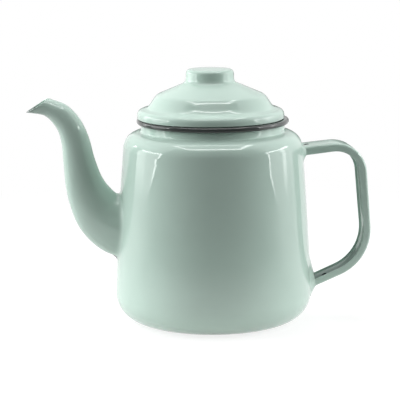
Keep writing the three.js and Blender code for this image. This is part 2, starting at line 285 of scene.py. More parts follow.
def bezier(controls, steps=CURVE_STEPS):
    """Points along a Bézier curve, flat or in space."""
    points = []
    for i in range(steps + 1):
        level = controls
        while len(level) > 1:
            level = [a.lerp(b, i / steps) for a, b in zip(level, level[1:])]
        points.append(level[0])
    return points


def bend(before, corner, after, radius):
    """Points round a bend between two straight stretches."""
    back = (before - corner).normalized()
    on = (after - corner).normalized()
    half = back.angle(on) / 2
    centre = corner + (back + on).normalized() * radius / math.sin(half)
    start = corner + back * radius / math.tan(half)
    side = 1 if back.cross(on) < 0 else -1
    sweep = math.pi - 2 * half
    steps = max(2, math.ceil(sweep / ARC_STEP))
    return [turned_about(start, centre, side * sweep * i / steps) for i in range(steps + 1)]


def rounded(corners):
    """Closed outline through (x, y, radius) corners, each rounded by its radius."""
    points = []
    for i, (x, y, radius) in enumerate(corners):
        before = at(*corners[i - 1][:2])
        after = at(*corners[(i + 1) % len(corners)][:2])
        points += bend(before, at(x, y), after, radius) if radius else [at(x, y)]
    return points


def distinct(points):
    """The points without those that double the one before."""
    kept = points[:1]
    for point in points[1:]:
        if (point - kept[-1]).length > SAME_POINT:
            kept.append(point)
    return kept


def beside(outline, distance):
    """The line beside an outline, to the left of the way it runs."""
    sideways = []
    for a, b in zip(outline, outline[1:]):
        along = (b - a).normalized()
        sideways.append(at(-along.y, along.x))
    moved = []
    for i, point in enumerate(outline):
        both = sideways[max(i - 1, 0)] + sideways[min(i, len(sideways) - 1)]
        moved.append(point + both * 2 * distance / both.length_squared)
    return moved


def side_radius(height):
    """Radius of the pot's side at a height."""
    pot = bpy.context.scene.teapot.pot
    share = clamped((height - pot.base_corner) / (pot.side_top - pot.base_corner))
    straight = pot_high.x + (pot.side_top_radius - pot_high.x) * share
    return straight + 4 * pot.side_bulge * share * (1 - share)


def pot_outline():
    """Outer face of the pot, from the centre of its base to the top of its neck."""
    pot = bpy.context.scene.teapot.pot
    foot = pot_high.x - pot.base_corner
    shoulder_centre = at(pot.side_top_radius - pot.shoulder, pot.side_top)
    offset = pot.neck_radius + pot.neck_fillet - shoulder_centre.x
    rise = math.sqrt((pot.shoulder + pot.neck_fillet) ** 2 - offset**2)
    blend = math.degrees(math.atan2(rise, offset))
    swell = at(
        (pot_high.x + pot.side_top_radius) / 2 + 2 * pot.side_bulge,
        (pot.base_corner + pot.side_top) / 2,
    )
    return distinct([
        at(0, 0),
        *arc(at(foot, pot.base_corner), pot.base_corner, -90, 0),
        *bezier([at(pot_high.x, pot.base_corner), swell, at(pot.side_top_radius, pot.side_top)]),
        *arc(shoulder_centre, pot.shoulder, 0, blend),
        *arc(shoulder_centre + at(offset, rise), pot.neck_fillet, blend + 180, 180),
        at(pot.neck_radius, trim_low.z + pot.trim_sheet + pot.seam),
    ])


# Node trees and meshes

def add(tree, kind, inputs=None, **settings):
    """Adds a node with its settings and inputs: values, sockets, or nodes for their first output."""
    node = tree.nodes.new(kind)
    for name, value in settings.items():
        setattr(node, name, value)
    for key, value in (inputs or {}).items():
        if isinstance(value, bpy.types.Node):
            value = value.outputs[0]
        if isinstance(value, bpy.types.NodeSocket):
            tree.links.new(value, node.inputs[key])
        else:
            node.inputs[key].default_value = value
    return node


def new_tree(name, sockets):
    """A geometry tree with named inputs, and its group input node."""
    tree = bpy.data.node_groups.new(name, "GeometryNodeTree")
    tree.interface.new_socket("Geometry", in_out="OUTPUT", socket_type="NodeSocketGeometry")
    for label, kind in sockets.items():
        tree.interface.new_socket(label, in_out="INPUT", socket_type="NodeSocket" + kind)
    return tree, tree.nodes.new("NodeGroupInput")


def end_tree(tree, given, geometry):
    """Realises, finishes and hands out what the tree makes."""
    real = add(tree, "GeometryNodeRealizeInstances", {"Geometry": geometry})
    finished = add(
        tree,
        "GeometryNodeSetMaterial",
        {"Geometry": real, "Material": given.outputs["Material"]},
    )
    add(tree, "NodeGroupOutput", {"Geometry": finished})


def turn(tree, outline, sides, guide):
    """Nodes that turn an outline in the plane y = 0 round the Z axis, on a guide circle."""
    laid = add(tree, "GeometryNodeTransform", {"Geometry": outline, "Rotation": (math.pi / 2, 0, 0)})
    inwards = add(tree, "ShaderNodeMath", {0: 0.0, 1: guide}, operation="SUBTRACT")
    shift = add(tree, "ShaderNodeCombineXYZ", {"X": inwards})
    moved = add(tree, "GeometryNodeTransform", {"Geometry": laid, "Translation": shift})
    line = add(tree, "GeometryNodeMeshToCurve", {"Mesh": moved})
    circle = add(tree, "GeometryNodeCurvePrimitiveCircle", {"Resolution": sides, "Radius": guide})
    surface = add(tree, "GeometryNodeCurveToMesh", {"Curve": circle, "Profile Curve": line})
    return add(tree, "GeometryNodeMergeByDistance", {"Geometry": surface, "Distance": SAME_RING})


def turned_tree():
    """Tree that turns an outline into a round piece."""
    sockets = {"Geometry": "Geometry", "Sides": "Int", "Guide Radius": "Float", "Material": "Material"}
    tree, given = new_tree("turned piece", sockets)
    piece = turn(tree, given.outputs["Geometry"], given.outputs["Sides"], given.outputs["Guide Radius"])
    end_tree(tree, given, piece)
    return tree


def strained_tree():
    """Tree that turns the pot's outline and pierces its wall with a pattern of holes."""
    sockets = {
        "Geometry": "Geometry",
        "Sides": "Int",
        "Guide Radius": "Float",
        "Hole Radius": "Float",
        "Pitch": "Float",
        "Pattern Width": "Float",
        "Pattern Height": "Float",
        "Pattern Place": "Vector",
        "Drill Length": "Float",
        "Rows": "Int",
        "Columns": "Int",
        "Material": "Material",
    }
    tree, given = new_tree("strained pot", sockets)
    size = given.outputs
    shell = turn(tree, size["Geometry"], size["Sides"], size["Guide Radius"])
    row_pitch = add(tree, "ShaderNodeMath", {0: size["Pitch"], 1: ROW_PITCH_SHARE}, operation="MULTIPLY")
    row_gaps = add(tree, "ShaderNodeMath", {0: size["Rows"], 1: 1.0}, operation="SUBTRACT")
    column_gaps = add(tree, "ShaderNodeMath", {0: size["Columns"], 1: 1.0}, operation="SUBTRACT")
    tall = add(tree, "ShaderNodeMath", {0: row_pitch, 1: row_gaps}, operation="MULTIPLY")
    wide = add(tree, "ShaderNodeMath", {0: size["Pitch"], 1: column_gaps}, operation="MULTIPLY")
    grid = add(
        tree,
        "GeometryNodeMeshGrid",
        {"Size X": wide, "Size Y": tall, "Vertices X": size["Columns"], "Vertices Y": size["Rows"]},
    )
    index = add(tree, "GeometryNodeInputIndex")
    row = add(tree, "ShaderNodeMath", {0: index, 1: size["Rows"]}, operation="MODULO")
    odd = add(tree, "ShaderNodeMath", {0: row, 1: 2.0}, operation="MODULO")
    half_pitch = add(tree, "ShaderNodeMath", {0: size["Pitch"], 1: 0.5}, operation="MULTIPLY")
    nudge = add(tree, "ShaderNodeMath", {0: odd, 1: half_pitch}, operation="MULTIPLY")
    sideways = add(tree, "ShaderNodeCombineXYZ", {"X": nudge})
    staggered = add(tree, "GeometryNodeSetPosition", {"Geometry": grid, "Offset": sideways})
    place = add(tree, "GeometryNodeInputPosition")
    oval = add(
        tree,
        "ShaderNodeCombineXYZ",
        {"X": size["Pattern Width"], "Y": size["Pattern Height"], "Z": 1.0},
    )
    share = add(tree, "ShaderNodeVectorMath", {0: place, 1: oval}, operation="DIVIDE")
    far = add(tree, "ShaderNodeVectorMath", {0: share}, operation="LENGTH")
    outside = add(tree, "ShaderNodeMath", {0: far.outputs["Value"], 1: 1.0}, operation="GREATER_THAN")
    kept = add(
        tree,
        "GeometryNodeDeleteGeometry",
        {"Geometry": staggered, "Selection": outside},
        domain="POINT",
    )
    upright = add(
        tree,
        "GeometryNodeTransform",
        {"Geometry": kept, "Rotation": (math.pi / 2, 0, math.pi / 2), "Translation": size["Pattern Place"]},
    )
    drill = add(
        tree,
        "GeometryNodeMeshCylinder",
        {"Vertices": HOLE_SIDES, "Radius": size["Hole Radius"], "Depth": size["Drill Length"]},
    )
    lying = add(tree, "GeometryNodeTransform", {"Geometry": drill, "Rotation": (0, math.pi / 2, 0)})
    drills = add(tree, "GeometryNodeInstanceOnPoints", {"Points": upright, "Instance": lying})
    solid_drills = add(tree, "GeometryNodeRealizeInstances", {"Geometry": drills})
    pierced = add(
        tree,
        "GeometryNodeMeshBoolean",
        {"Mesh 1": shell, "Mesh 2": solid_drills},
        operation="DIFFERENCE",
        solver="MANIFOLD",
    )
    end_tree(tree, given, pierced)
    return tree


def swept_tree():
    """Tree that sweeps a section along the handle, tapers it, and trims it at the pot."""
    sockets = {
        "Geometry": "Geometry",
        "Section": "Object",
        "Pot": "Object",
        "Vent": "Object",
        "Width Loss": "Float",
        "Depth Loss": "Float",
        "Material": "Material",
    }
    tree, given = new_tree("swept handle piece", sockets)
    size = given.outputs
    line = add(tree, "GeometryNodeMeshToCurve", {"Mesh": size["Geometry"]})
    share = add(tree, "GeometryNodeSplineParameter")
    along = add(
        tree,
        "GeometryNodeStoreNamedAttribute",
        {"Geometry": line, "Name": "along", "Value": share},
        data_type="FLOAT",
        domain="POINT",
    )
    heading = add(tree, "GeometryNodeInputTangent")
    outward = add(tree, "ShaderNodeVectorMath", {0: heading, 1: ACROSS}, operation="CROSS_PRODUCT")
    guided = add(
        tree,
        "GeometryNodeStoreNamedAttribute",
        {"Geometry": along, "Name": "outward", "Value": outward},
        data_type="FLOAT_VECTOR",
        domain="POINT",
    )
    section = add(tree, "GeometryNodeObjectInfo", {"Object": size["Section"]})
    section_line = add(tree, "GeometryNodeMeshToCurve", {"Mesh": section.outputs["Geometry"]})
    surface = add(
        tree,
        "GeometryNodeCurveToMesh",
        {"Curve": guided, "Profile Curve": section_line, "Fill Caps": True},
    )
    read = {
        name: add(tree, "GeometryNodeInputNamedAttribute", {"Name": name}, data_type=kind)
        for name, kind in TAPER_ATTRIBUTES.items()
    }
    losses = []
    for sign, loss, direction in (("side", "Width Loss", ACROSS), ("back", "Depth Loss", read["outward"])):
        half = add(tree, "ShaderNodeMath", {0: size[loss], 1: -0.5}, operation="MULTIPLY")
        here = add(tree, "ShaderNodeMath", {0: half, 1: read["along"]}, operation="MULTIPLY")
        signed = add(tree, "ShaderNodeMath", {0: here, 1: read[sign]}, operation="MULTIPLY")
        losses.append(add(tree, "ShaderNodeVectorMath", {0: direction, "Scale": signed}, operation="SCALE"))
    both = add(tree, "ShaderNodeVectorMath", {0: losses[0], 1: losses[1]}, operation="ADD")
    cut = add(tree, "GeometryNodeSetPosition", {"Geometry": surface, "Offset": both})
    pot = add(tree, "GeometryNodeObjectInfo", {"Object": size["Pot"]})
    vent = add(tree, "GeometryNodeObjectInfo", {"Object": size["Vent"]})
    for cutter in (pot, vent):
        cut = add(
            tree,
            "GeometryNodeMeshBoolean",
            {"Mesh 1": cut, "Mesh 2": cutter.outputs["Geometry"]},
            operation="DIFFERENCE",
            solver="MANIFOLD",
        )
    end_tree(tree, given, cut)
    return tree


def new_object(name, data):
    made = bpy.data.objects.new(name, data)
    bpy.context.scene.collection.objects.link(made)
    return made


def mesh_object(name, places, edges=(), faces=()):
    """Object whose mesh has vertices at places."""
    mesh = bpy.data.meshes.new(name)
    mesh.from_pydata([tuple(place) for place in places], list(edges), list(faces))
    return new_object(name, mesh)


def store(made, name, values, domain="POINT"):
    """Keeps a number for each point or face of a mesh."""
    made.data.attributes.new(name, "FLOAT", domain).data.foreach_set("value", values)


def ring_faces(count, rings, gaps):
    """Faces across the gaps between closed rings of points. The last ring is followed by the first."""
    faces = []
    for k in range(gaps):
        ring, on = k * count, (k + 1) % rings * count
        for i in range(count):
            j = (i + 1) % count
            faces.append((ring + i, ring + j, on + j, on + i))
    return faces


def outline_object(name, outline, closed):
    """Edges along an outline, in the plane y = 0."""
    edges = [(i, i + 1) for i in range(len(outline) - 1)]
    if closed:
        edges.append((len(outline) - 1, 0))
    return mesh_object(name, [(point.x, 0, point.y) for point in outline], edges)


def run_tree(made, tree, values):
    """Gives an object the mesh that a tree makes of it."""
    modifier = made.modifiers.new(tree.name, "NODES")
    modifier.node_group = tree
    for item in tree.interface.items_tree:
        if item.in_out == "INPUT" and item.name in values:
            modifier[item.identifier] = values[item.name]
    graph = bpy.context.evaluated_depsgraph_get()
    result = bpy.data.meshes.new_from_object(made.evaluated_get(graph))
    made.modifiers.remove(modifier)
    if not result.polygons:
        raise RuntimeError(f"{tree.name} made no faces for {made.name}")
    for name in TAPER_ATTRIBUTES:
        if name in result.attributes:
            result.attributes.remove(result.attributes[name])
    old, made.data = made.data, result
    bpy.data.meshes.remove(old)
    return made


def tidy_mesh(made):
    """Merges doubled vertices, turns the faces outwards and shades them smooth up to sharp edges."""
    work = bmesh.new()
    work.from_mesh(made.data)
    bmesh.ops.remove_doubles(work, verts=work.verts, dist=SAME_VERTEX)
    bmesh.ops.dissolve_degenerate(work, edges=work.edges, dist=SAME_VERTEX)
    bmesh.ops.recalc_face_normals(work, faces=work.faces)
    work.to_mesh(made.data)
    work.free()
    made.data.shade_smooth()
    made.data.set_sharp_from_angle(angle=SHARP_ANGLE)
    return made


def join(name, parts):
    """One object that holds the closed meshes of several."""
    work = bmesh.new()
    for part in parts:
        work.from_mesh(part.data)
    joined = bpy.data.meshes.new(name)
    work.to_mesh(joined)
    work.free()
    joined.materials.append(parts[-1].data.materials[0])
    joined.polygons.foreach_set("material_index", [0] * len(joined.polygons))
    joined.shade_smooth()
    joined.set_sharp_from_angle(angle=SHARP_ANGLE)
    for part in parts:
        remove(part)
    return new_object(name, joined)


def remove(made):
    mesh = made.data
    bpy.data.objects.remove(made)
    bpy.data.meshes.remove(mesh)


def turned(name, outline, closed, finish, centre=0):
    """Round piece whose outline is turned about an axis at a centre on the X axis."""
    made = outline_object(name, outline, closed)
    tree = bpy.data.node_groups.get("turned piece") or turned_tree()
    run_tree(made, tree, {"Sides": TURNED_SIDES, "Guide Radius": pot_high.x / 2, "Material": finish})
    made.data.transform(Matrix.Translation((centre, 0, 0)))
    return tidy_mesh(made)


def take_place(made, body, slot, *nodes):
    """Lets a finished piece stand for its solids."""
    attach(made, body)
    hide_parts(*nodes)


def place_where(low, high, above):
    """The place between low and high where above(place) turns from true to false."""
    for _ in range(HALVINGS):
        middle = (low + high) / 2
        low, high = (middle, high) if above(middle) else (low, middle)
    return (low + high) / 2


# Finishes

# Size and depth of the enamel's broad wave and of its orange peel, and the range of its roughness
WAVE_SIZE, WAVE_DEPTH = 16 * MM, 0.035 * MM
PEEL_SIZE, PEEL_DEPTH = 1.6 * MM, 0.0025 * MM
SMOOTHEST, ROUGHEST = 0.04, 0.07
GLASS_IOR = 1.6
# Values between which a noise mostly lies
NOISE_LOW, NOISE_HIGH = 0.3, 0.7
# Size of the pale enamel's clouds and of the cells that can hold a speck, and the share of the cells
# that hold none. A speck fades out between two distances from its middle, as shares of a cell, and
# shows a share of the ground coat. The clouds multiply the colour by the two last values.
CLOUD_SIZE, SPECK_CELL = 38 * MM, 9 * MM
NO_SPECK_SHARE = 0.93
SPECK_SHARES, SPECK_DEPTH_SHARE = (0.02, 0.035), 0.55
DARKEST, PALEST = 0.975, 1.02
# Size of the dark enamel's drifts, and distance between the lines along its band
DRIFT_SIZE, LINE_SIZE = 25 * MM, 0.8 * MM


def new_material(name):
    material = bpy.data.materials.new(name)
    material.use_nodes = True
    material.node_tree.nodes.clear()
    return material, material.node_tree


def glass_shader(tree, where, tint, drift):
    """Ends an enamel's tree: a wet gloss that drifts a little, a broad slow wave and an orange peel."""
    gloss = add(
        tree,
        "ShaderNodeMapRange",
        {
            "Value": drift,
            "From Min": NOISE_LOW,
            "From Max": NOISE_HIGH,
            "To Min": SMOOTHEST,
            "To Max": ROUGHEST,
        },
    )
    wave = add(tree, "ShaderNodeTexNoise", {"Vector": where, "Scale": 1 / WAVE_SIZE, "Detail": 1.0})
    peel = add(tree, "ShaderNodeTexNoise", {"Vector": where, "Scale": 1 / PEEL_SIZE, "Detail": 2.0})
    broad = add(tree, "ShaderNodeBump", {"Height": wave, "Strength": 1.0, "Distance": WAVE_DEPTH})
    fine = add(
        tree,
        "ShaderNodeBump",
        {"Height": peel, "Strength": 1.0, "Distance": PEEL_DEPTH, "Normal": broad},
    )
    shader = add(
        tree,
        "ShaderNodeBsdfPrincipled",
        {"Base Color": tint, "Roughness": gloss, "IOR": GLASS_IOR, "Normal": fine},
    )
    add(tree, "ShaderNodeOutputMaterial", {"Surface": shader})


def enamel_finish():
    """Vitreous enamel, fired on pressed steel: an opaque glass with a wet gloss. It flows a little
    as it melts, so the surface has a broad slow wave, a fine orange peel and a faint clouding."""
    found = bpy.data.materials.get("vitreous enamel")
    if found:
        return found
    colours = bpy.context.scene.teapot.finish
    material, tree = new_material("vitreous enamel")
    where = add(tree, "ShaderNodeTexCoord").outputs["Object"]
    cloud = add(
        tree,
        "ShaderNodeTexNoise",
        {"Vector": where, "Scale": 1 / CLOUD_SIZE, "Detail": 3.0, "Roughness": 0.55},
    )
    tone = add(
        tree,
        "ShaderNodeMapRange",
        {
            "Value": cloud,
            "From Min": NOISE_LOW,
            "From Max": NOISE_HIGH,
            "To Min": DARKEST,
            "To Max": PALEST,
        },
    )
    clouded = add(
        tree,
        "ShaderNodeMix",
        {"Factor": 1.0, 6: list(colours.enamel), 7: tone},
        data_type="RGBA",
        blend_type="MULTIPLY",
    )
    # Pinheads of the dark ground coat, about 0.5 mm wide and a few centimetres apart
    cells = add(tree, "ShaderNodeTexVoronoi", {"Vector": where, "Scale": 1 / SPECK_CELL, "Randomness": 1.0})
    chosen = add(tree, "ShaderNodeSeparateColor", {"Color": cells.outputs["Color"]})
    rare = add(tree, "ShaderNodeMath", {0: chosen, 1: NO_SPECK_SHARE}, operation="GREATER_THAN")
    dot = add(
        tree,
        "ShaderNodeMapRange",
        {
            "Value": cells.outputs["Distance"],
            "From Min": SPECK_SHARES[0],
            "From Max": SPECK_SHARES[1],
            "To Min": SPECK_DEPTH_SHARE,
            "To Max": 0.0,
        },
    )
    speck = add(tree, "ShaderNodeMath", {0: rare, 1: dot}, operation="MULTIPLY")
    # This share darkens towards the ground coat: thin coat, and painted shade on the handle's strip and the
    # spout's mouth
    thin = add(tree, "ShaderNodeAttribute", attribute_name="ground_coat_and_shade")
    bare = add(tree, "ShaderNodeMath", {0: speck, 1: thin.outputs["Fac"]}, operation="MAXIMUM")
    coated = add(
        tree,
        "ShaderNodeMix",
        {"Factor": bare, 6: clouded.outputs[2], 7: list(colours.ground_coat_and_shade)},
        data_type="RGBA",
    )
    glass_shader(tree, where, coated.outputs[2], cloud)
    return material


def rim_finish():
    """Dark vitreous enamel on the rim, fired on pressed steel: the same wet gloss as the pale coat
    over a charcoal glass. It gathers as it runs, so its tone drifts every few centimetres, and
    it's a little thinner and greyer in lines along the band."""
    colours = bpy.context.scene.teapot.finish
    material, tree = new_material("charcoal enamel")
    where = add(tree, "ShaderNodeTexCoord").outputs["Object"]
    drift = add(tree, "ShaderNodeTexNoise", {"Vector": where, "Scale": 1 / DRIFT_SIZE, "Detail": 3.0})
    level = add(tree, "ShaderNodeSeparateXYZ", {"Vector": where})
    flat = add(tree, "ShaderNodeCombineXYZ", {"Z": level.outputs["Z"]})
    lines = add(tree, "ShaderNodeTexNoise", {"Vector": flat, "Scale": 1 / LINE_SIZE})
    both = add(tree, "ShaderNodeMath", {0: drift, 1: lines}, operation="ADD")
    tone = add(
        tree,
        "ShaderNodeMapRange",
        {"Value": both, "From Min": 0.7, "From Max": 1.3, "To Min": 0.75, "To Max": 1.3},
    )
    toned = add(
        tree,
        "ShaderNodeMix",
        {"Factor": 1.0, 6: list(colours.rim), 7: tone},
        data_type="RGBA",
        blend_type="MULTIPLY",
    )
    glass_shader(tree, where, toned.outputs[2], drift)
    return material


# Pieces

class TEAPOT_OT_make_pot(bpy.types.Operator):
    """Make the pressed pot with its base, shoulder, neck and strainer holes"""

    bl_idname = "teapot.make_pot"
    bl_label = "Pot body"

    def execute(self, context):
        pot, spout = context.scene.teapot.pot, context.scene.teapot.spout
        outer = pot_outline()
        bead = trim_high.x - pot.trim_sheet - pot.seam
        bead_low = trim_low.z + pot.trim_sheet + pot.seam
        bead_high = trim_high.z - pot.trim_sheet - pot.seam
        roll = (bead_high - bead_low) / 2
        outline = distinct([
            *outer,
            *arc(at(bead - roll, bead_low + roll), roll, -90, 90),
            *bezier(
                [
                    at(pot.neck_radius, bead_high),
                    at(pot.neck_radius - pot.sheet, bead_high),
                    at(pot.neck_radius - pot.sheet, bead_high - pot.sheet),
                ],
                NECK_EDGE_STEPS,
            ),
            *reversed(beside(outer, pot.sheet)[:-1]),
        ])
        outline[-1].x = 0
        made = outline_object("pot_body_enamelled", outline, False)
        room_up = spout.root_depth / 2 - pot.sheet - pot.hole_margin
        room_across = spout.root_width / 2 - pot.sheet - pot.hole_margin
        rows = 2 * math.floor(room_up / (pot.hole_pitch * ROW_PITCH_SHARE)) + 1
        columns = 2 * math.ceil(room_across / pot.hole_pitch) + 1
        run_tree(
            made,
            strained_tree(),
            {
                "Sides": TURNED_SIDES,
                "Guide Radius": pot_high.x / 2,
                "Hole Radius": pot.hole_radius,
                "Pitch": pot.hole_pitch,
                "Pattern Width": room_across,
                "Pattern Height": room_up,
                "Pattern Place": (-side_radius(spout.root_height), 0, spout.root_height),
                "Drill Length": pot.base_corner,
                "Rows": rows,
                "Columns": columns,
                "Material": enamel_finish(),
            },
        )
        tidy_mesh(made)
        take_place(made, "pot", "enamel", "pot_body")
        return {"FINISHED"}


class TEAPOT_OT_make_rim_trim(bpy.types.Operator):
    """Make the dark band on the rolled edge of the neck"""

    bl_idname = "teapot.make_rim_trim"
    bl_label = "Rim trim"

    def execute(self, context):
        pot = context.scene.teapot.pot
        corner = trim_high.x - pot.trim_edge
        outline = distinct([
            at(pot.neck_radius, trim_low.z),
            *arc(at(corner, trim_low.z + pot.trim_edge), pot.trim_edge, -90, 0),
            *arc(at(corner, trim_high.z - pot.trim_edge), pot.trim_edge, 0, 90),
            at(pot.neck_radius - pot.sheet, trim_high.z),
        ])
        section = [*outline, *reversed(beside(outline, pot.trim_sheet))]
        made = turned("rim_trim_enamelled", section, True, rim_finish())
        take_place(made, "pot", "rim_enamel", "rim_trim")
        return {"FINISHED"}


# Shares of the spout's length between which it leaves the pot, and from which its mouth may start
ROOT_START_SHARE, ROOT_END_SHARE = 0.02, 0.6
MOUTH_START_SHARE = 0.7

# Shares of the spout's reach and rise, and of its taper in depth and width, along its length
SPOUT_SHARES = (
    (-0.16, -0.025, 1.19, 1.12),
    (0, 0, 1, 1),
    (0.157, 0.078, 0.8, 0.854),
    (0.275, 0.206, 0.6, 0.703),
    (0.344, 0.331, 0.455, 0.573),
    (0.399, 0.515, 0.31, 0.443),
    (0.437, 0.682, 0.227, 0.333),
    (0.501, 0.812, 0.163, 0.292),
    (0.607, 0.91, 0.104, 0.214),
    (0.748, 0.969, -0.007, 0.052),
    (0.889, 0.992, 0.001, 0.005),
    (1, 1, 0, 0),
    (1.12, 0.996, 0, 0),
)


def spline(points, share):
    """Point on a centripetal curve through points, and the direction in which it runs there."""
    place = clamped(share) * (len(points) - 1)
    first = min(int(place), len(points) - 2)
    weight = place - first
    inner = points[first : first + 2]
    before = points[first - 1] if first else 2 * points[0] - points[1]
    after = points[first + 2] if first + 2 < len(points) else 2 * points[-1] - points[-2]
    four = [before, *inner, after]
    gaps = [math.sqrt((b - a).length) for a, b in zip(four, four[1:])]
    gaps = [gap or gaps[1] or 1 for gap in gaps]
    slopes = []
    for i in (1, 2):
        a, b, c = four[i - 1 : i + 2]
        near, far = gaps[i - 1], gaps[i]
        slopes.append((b - a) / near - (c - a) / (near + far) + (c - b) / far)
    start, end = (steep * gaps[1] for steep in slopes)
    low, high = inner
    bend_2 = -3 * low + 3 * high - 2 * start - end
    bend_3 = 2 * low - 2 * high + start + end
    point = low + start * weight + bend_2 * weight**2 + bend_3 * weight**3
    heading = start + 2 * bend_2 * weight + 3 * bend_3 * weight**2
    return point, heading.normalized()


def spout_point(share, angle, inset=0):
    """Point on the spout, at a share of its length and an angle round it from its inner side."""
    spout = bpy.context.scene.teapot.spout
    reach = -pot_high.x - spout_low.x
    rise = spout.tip_height - spout.root_height
    line = [
        Vector((-pot_high.x - along * reach, 0, spout.root_height + up * rise))
        for along, up, _, _ in SPOUT_SHARES
    ]
    spare = (spout.root_depth - spout.tip_size, spout.root_width - spout.tip_size)
    sizes = [
        Vector((spout.tip_size + depth * spare[0], spout.tip_size + width * spare[1], 0))
        for _, _, depth, width in SPOUT_SHARES
    ]
    centre, heading = spline(line, share)
    size, _ = spline(sizes, share)
    outward = heading.cross(ACROSS)
    return (
        centre
        + ACROSS * math.sin(angle) * (size.y / 2 - inset)
        - outward * math.cos(angle) * (size.x / 2 - inset)
    )


def beyond_wall(point, distance=0):
    """How far a point lies outside the pot's side, less a distance."""
    return math.hypot(point.x, point.y) - side_radius(point.z) - distance


def on_wall(point, distance):
    """The point at the same height and bearing, at a distance outside the pot's side."""
    scale = (side_radius(point.z) + distance) / math.hypot(point.x, point.y)
    return Vector((point.x * scale, point.y * scale, point.z))


def above_mouth(point):
    """Whether a point of the spout lies above the cut of its mouth."""
    spout = bpy.context.scene.teapot.spout
    lip = Vector((spout_low.x + LIP_INSET, spout.tip_height - spout.tip_size / 2))
    run = point.x - lip.x
    span = spout.tip_size / math.sin(spout.mouth_slope) * math.cos(spout.mouth_slope)
    share = clamped(run / span)
    cut = lip.y + run * math.tan(spout.mouth_slope) - 4 * spout.mouth_sag * share * (1 - share)
    return point.z > cut


def spout_column(angle):
    """Closed line along the spout at one angle: out of the wall, up the outside, over the mouth's
    rounded edge and back down the inside. Also the share of the ground coat's dark colour at each
    point: thin coat on the mouth's edge, and painted shade for the shaded inside of the mouth."""
    pot, spout = bpy.context.scene.teapot.pot, bpy.context.scene.teapot.spout

    def mouth_share(inset):
        return place_where(MOUTH_START_SHARE, 1, lambda s: not above_mouth(spout_point(s, angle, inset)))

    def root_share(inset, distance):
        return place_where(
            ROOT_END_SHARE,
            ROOT_START_SHARE,
            lambda s: beyond_wall(spout_point(s, angle, inset), distance) > 0,
        )

    meet_share = root_share(0, 0)
    meet = spout_point(meet_share, angle)
    weld_share = place_where(
        meet_share,
        ROOT_END_SHARE,
        lambda s: (spout_point(s, angle) - meet).length < spout.fillet,
    )
    outer_end, inner_start = mouth_share(0), mouth_share(pot.sheet)
    inner_end = root_share(pot.sheet, -pot.sheet / 2)
    wall_out = Vector((meet.x, meet.y, 0)).normalized()
    aside = meet - spout_middle(meet_share)
    aside = (aside - wall_out * aside.dot(wall_out)).normalized()
    foot = on_wall(meet + aside * spout.fillet, 0)
    weld = bezier([foot, meet, spout_point(weld_share, angle)], WELD_STEPS)
    outer = [
        spout_point(weld_share + (outer_end - weld_share) * i / SPOUT_RINGS, angle)
        for i in range(1, SPOUT_RINGS + 1)
    ]
    inner = [
        spout_point(inner_start + (inner_end - inner_start) * i / SPOUT_RINGS, angle, pot.sheet)
        for i in range(SPOUT_RINGS + 1)
    ]
    middle, half = (outer[-1] + inner[0]) / 2, (outer[-1] - inner[0]) / 2
    lift = Vector((-math.sin(spout.mouth_slope), 0, math.cos(spout.mouth_slope))) * pot.sheet / 2
    sweeps = [math.pi * i / MOUTH_STEPS for i in range(1, MOUTH_STEPS)]
    edge = [middle + half * math.cos(sweep) + lift * math.sin(sweep) for sweep in sweeps]
    line = [on_wall(foot, -pot.sheet / 2), *weld, *outer, *edge, *inner]
    # Darker towards the tip: ground coat showing through, and painted shade for the inside of the mouth
    coat_and_shade_share = 1 - clamped((middle.x - spout_low.x) / spout.coat_and_shade_edge)
    edge_start = 1 + len(weld) + len(outer)
    on_edge = range(edge_start - 2, edge_start + len(edge) + 2)
    return line, [coat_and_shade_share if i in on_edge else 0 for i in range(len(line))]


def spout_middle(share):
    """Middle of the spout's section at a share of its length."""
    return (spout_point(share, 0) + spout_point(share, math.pi)) / 2


def spout_half(name, sign):
    """One pressed half of the spout, closed along the middle plane where it is welded."""
    places, coat_and_shade_shares = [], []
    for i in range(SPOUT_HALF_SIDES + 1):
        line, shares = spout_column(sign * math.pi * i / SPOUT_HALF_SIDES)
        if i in (0, SPOUT_HALF_SIDES):
            for point in line:
                point.y = 0
        places += line
        coat_and_shade_shares += shares
    count = len(places) // (SPOUT_HALF_SIDES + 1)
    faces = ring_faces(count, SPOUT_HALF_SIDES + 1, SPOUT_HALF_SIDES)
    for start in (0, SPOUT_HALF_SIDES * count):
        low, high = 0, count - 1
        while high - low > 1:
            ring = (start + low, start + low + 1, start + high - 1, start + high)
            faces.append(ring if high - low > 2 else ring[:2] + ring[3:])
            low, high = low + 1, high - 1
    made = mesh_object(name, places, faces=faces)
    store(made, "ground_coat_and_shade", coat_and_shade_shares)
    made.data.materials.append(enamel_finish())
    tidy_mesh(made)
    level_seam_normals(made)
    return made


def level_seam_normals(made):
    """Lets the shading run on across the ground weld between the two halves."""
    mesh = made.data
    normals = [Vector(corner.vector) for corner in mesh.corner_normals]
    for face in mesh.polygons:
        if abs(face.normal.y) > PLANE_NORMAL_SHARE:
            continue
        for loop in face.loop_indices:
            if abs(mesh.vertices[mesh.loops[loop].vertex_index].co.y) < ON_PLANE:
                normals[loop] = Vector((normals[loop].x, 0, normals[loop].z)).normalized()
    mesh.normals_split_custom_set(normals)


class TEAPOT_OT_make_spout(bpy.types.Operator):
    """Make the two welded halves of the spout"""

    bl_idname = "teapot.make_spout"
    bl_label = "Spout"

    def execute(self, context):
        for side, sign in (("left", -1), ("right", 1)):
            made = spout_half(f"spout_{side}_half_enamelled", sign)
            take_place(made, "pot", "enamel", f"spout_{side}_half")
        return {"FINISHED"}


# Where the handle's line starts and ends inside the pot, as a share of its radius
ARM_START_SHARE = 0.78
# How far inside the channel's outer faces the strip's edges end, as a share of its wall
STRIP_EDGE_SHARE = 0.8

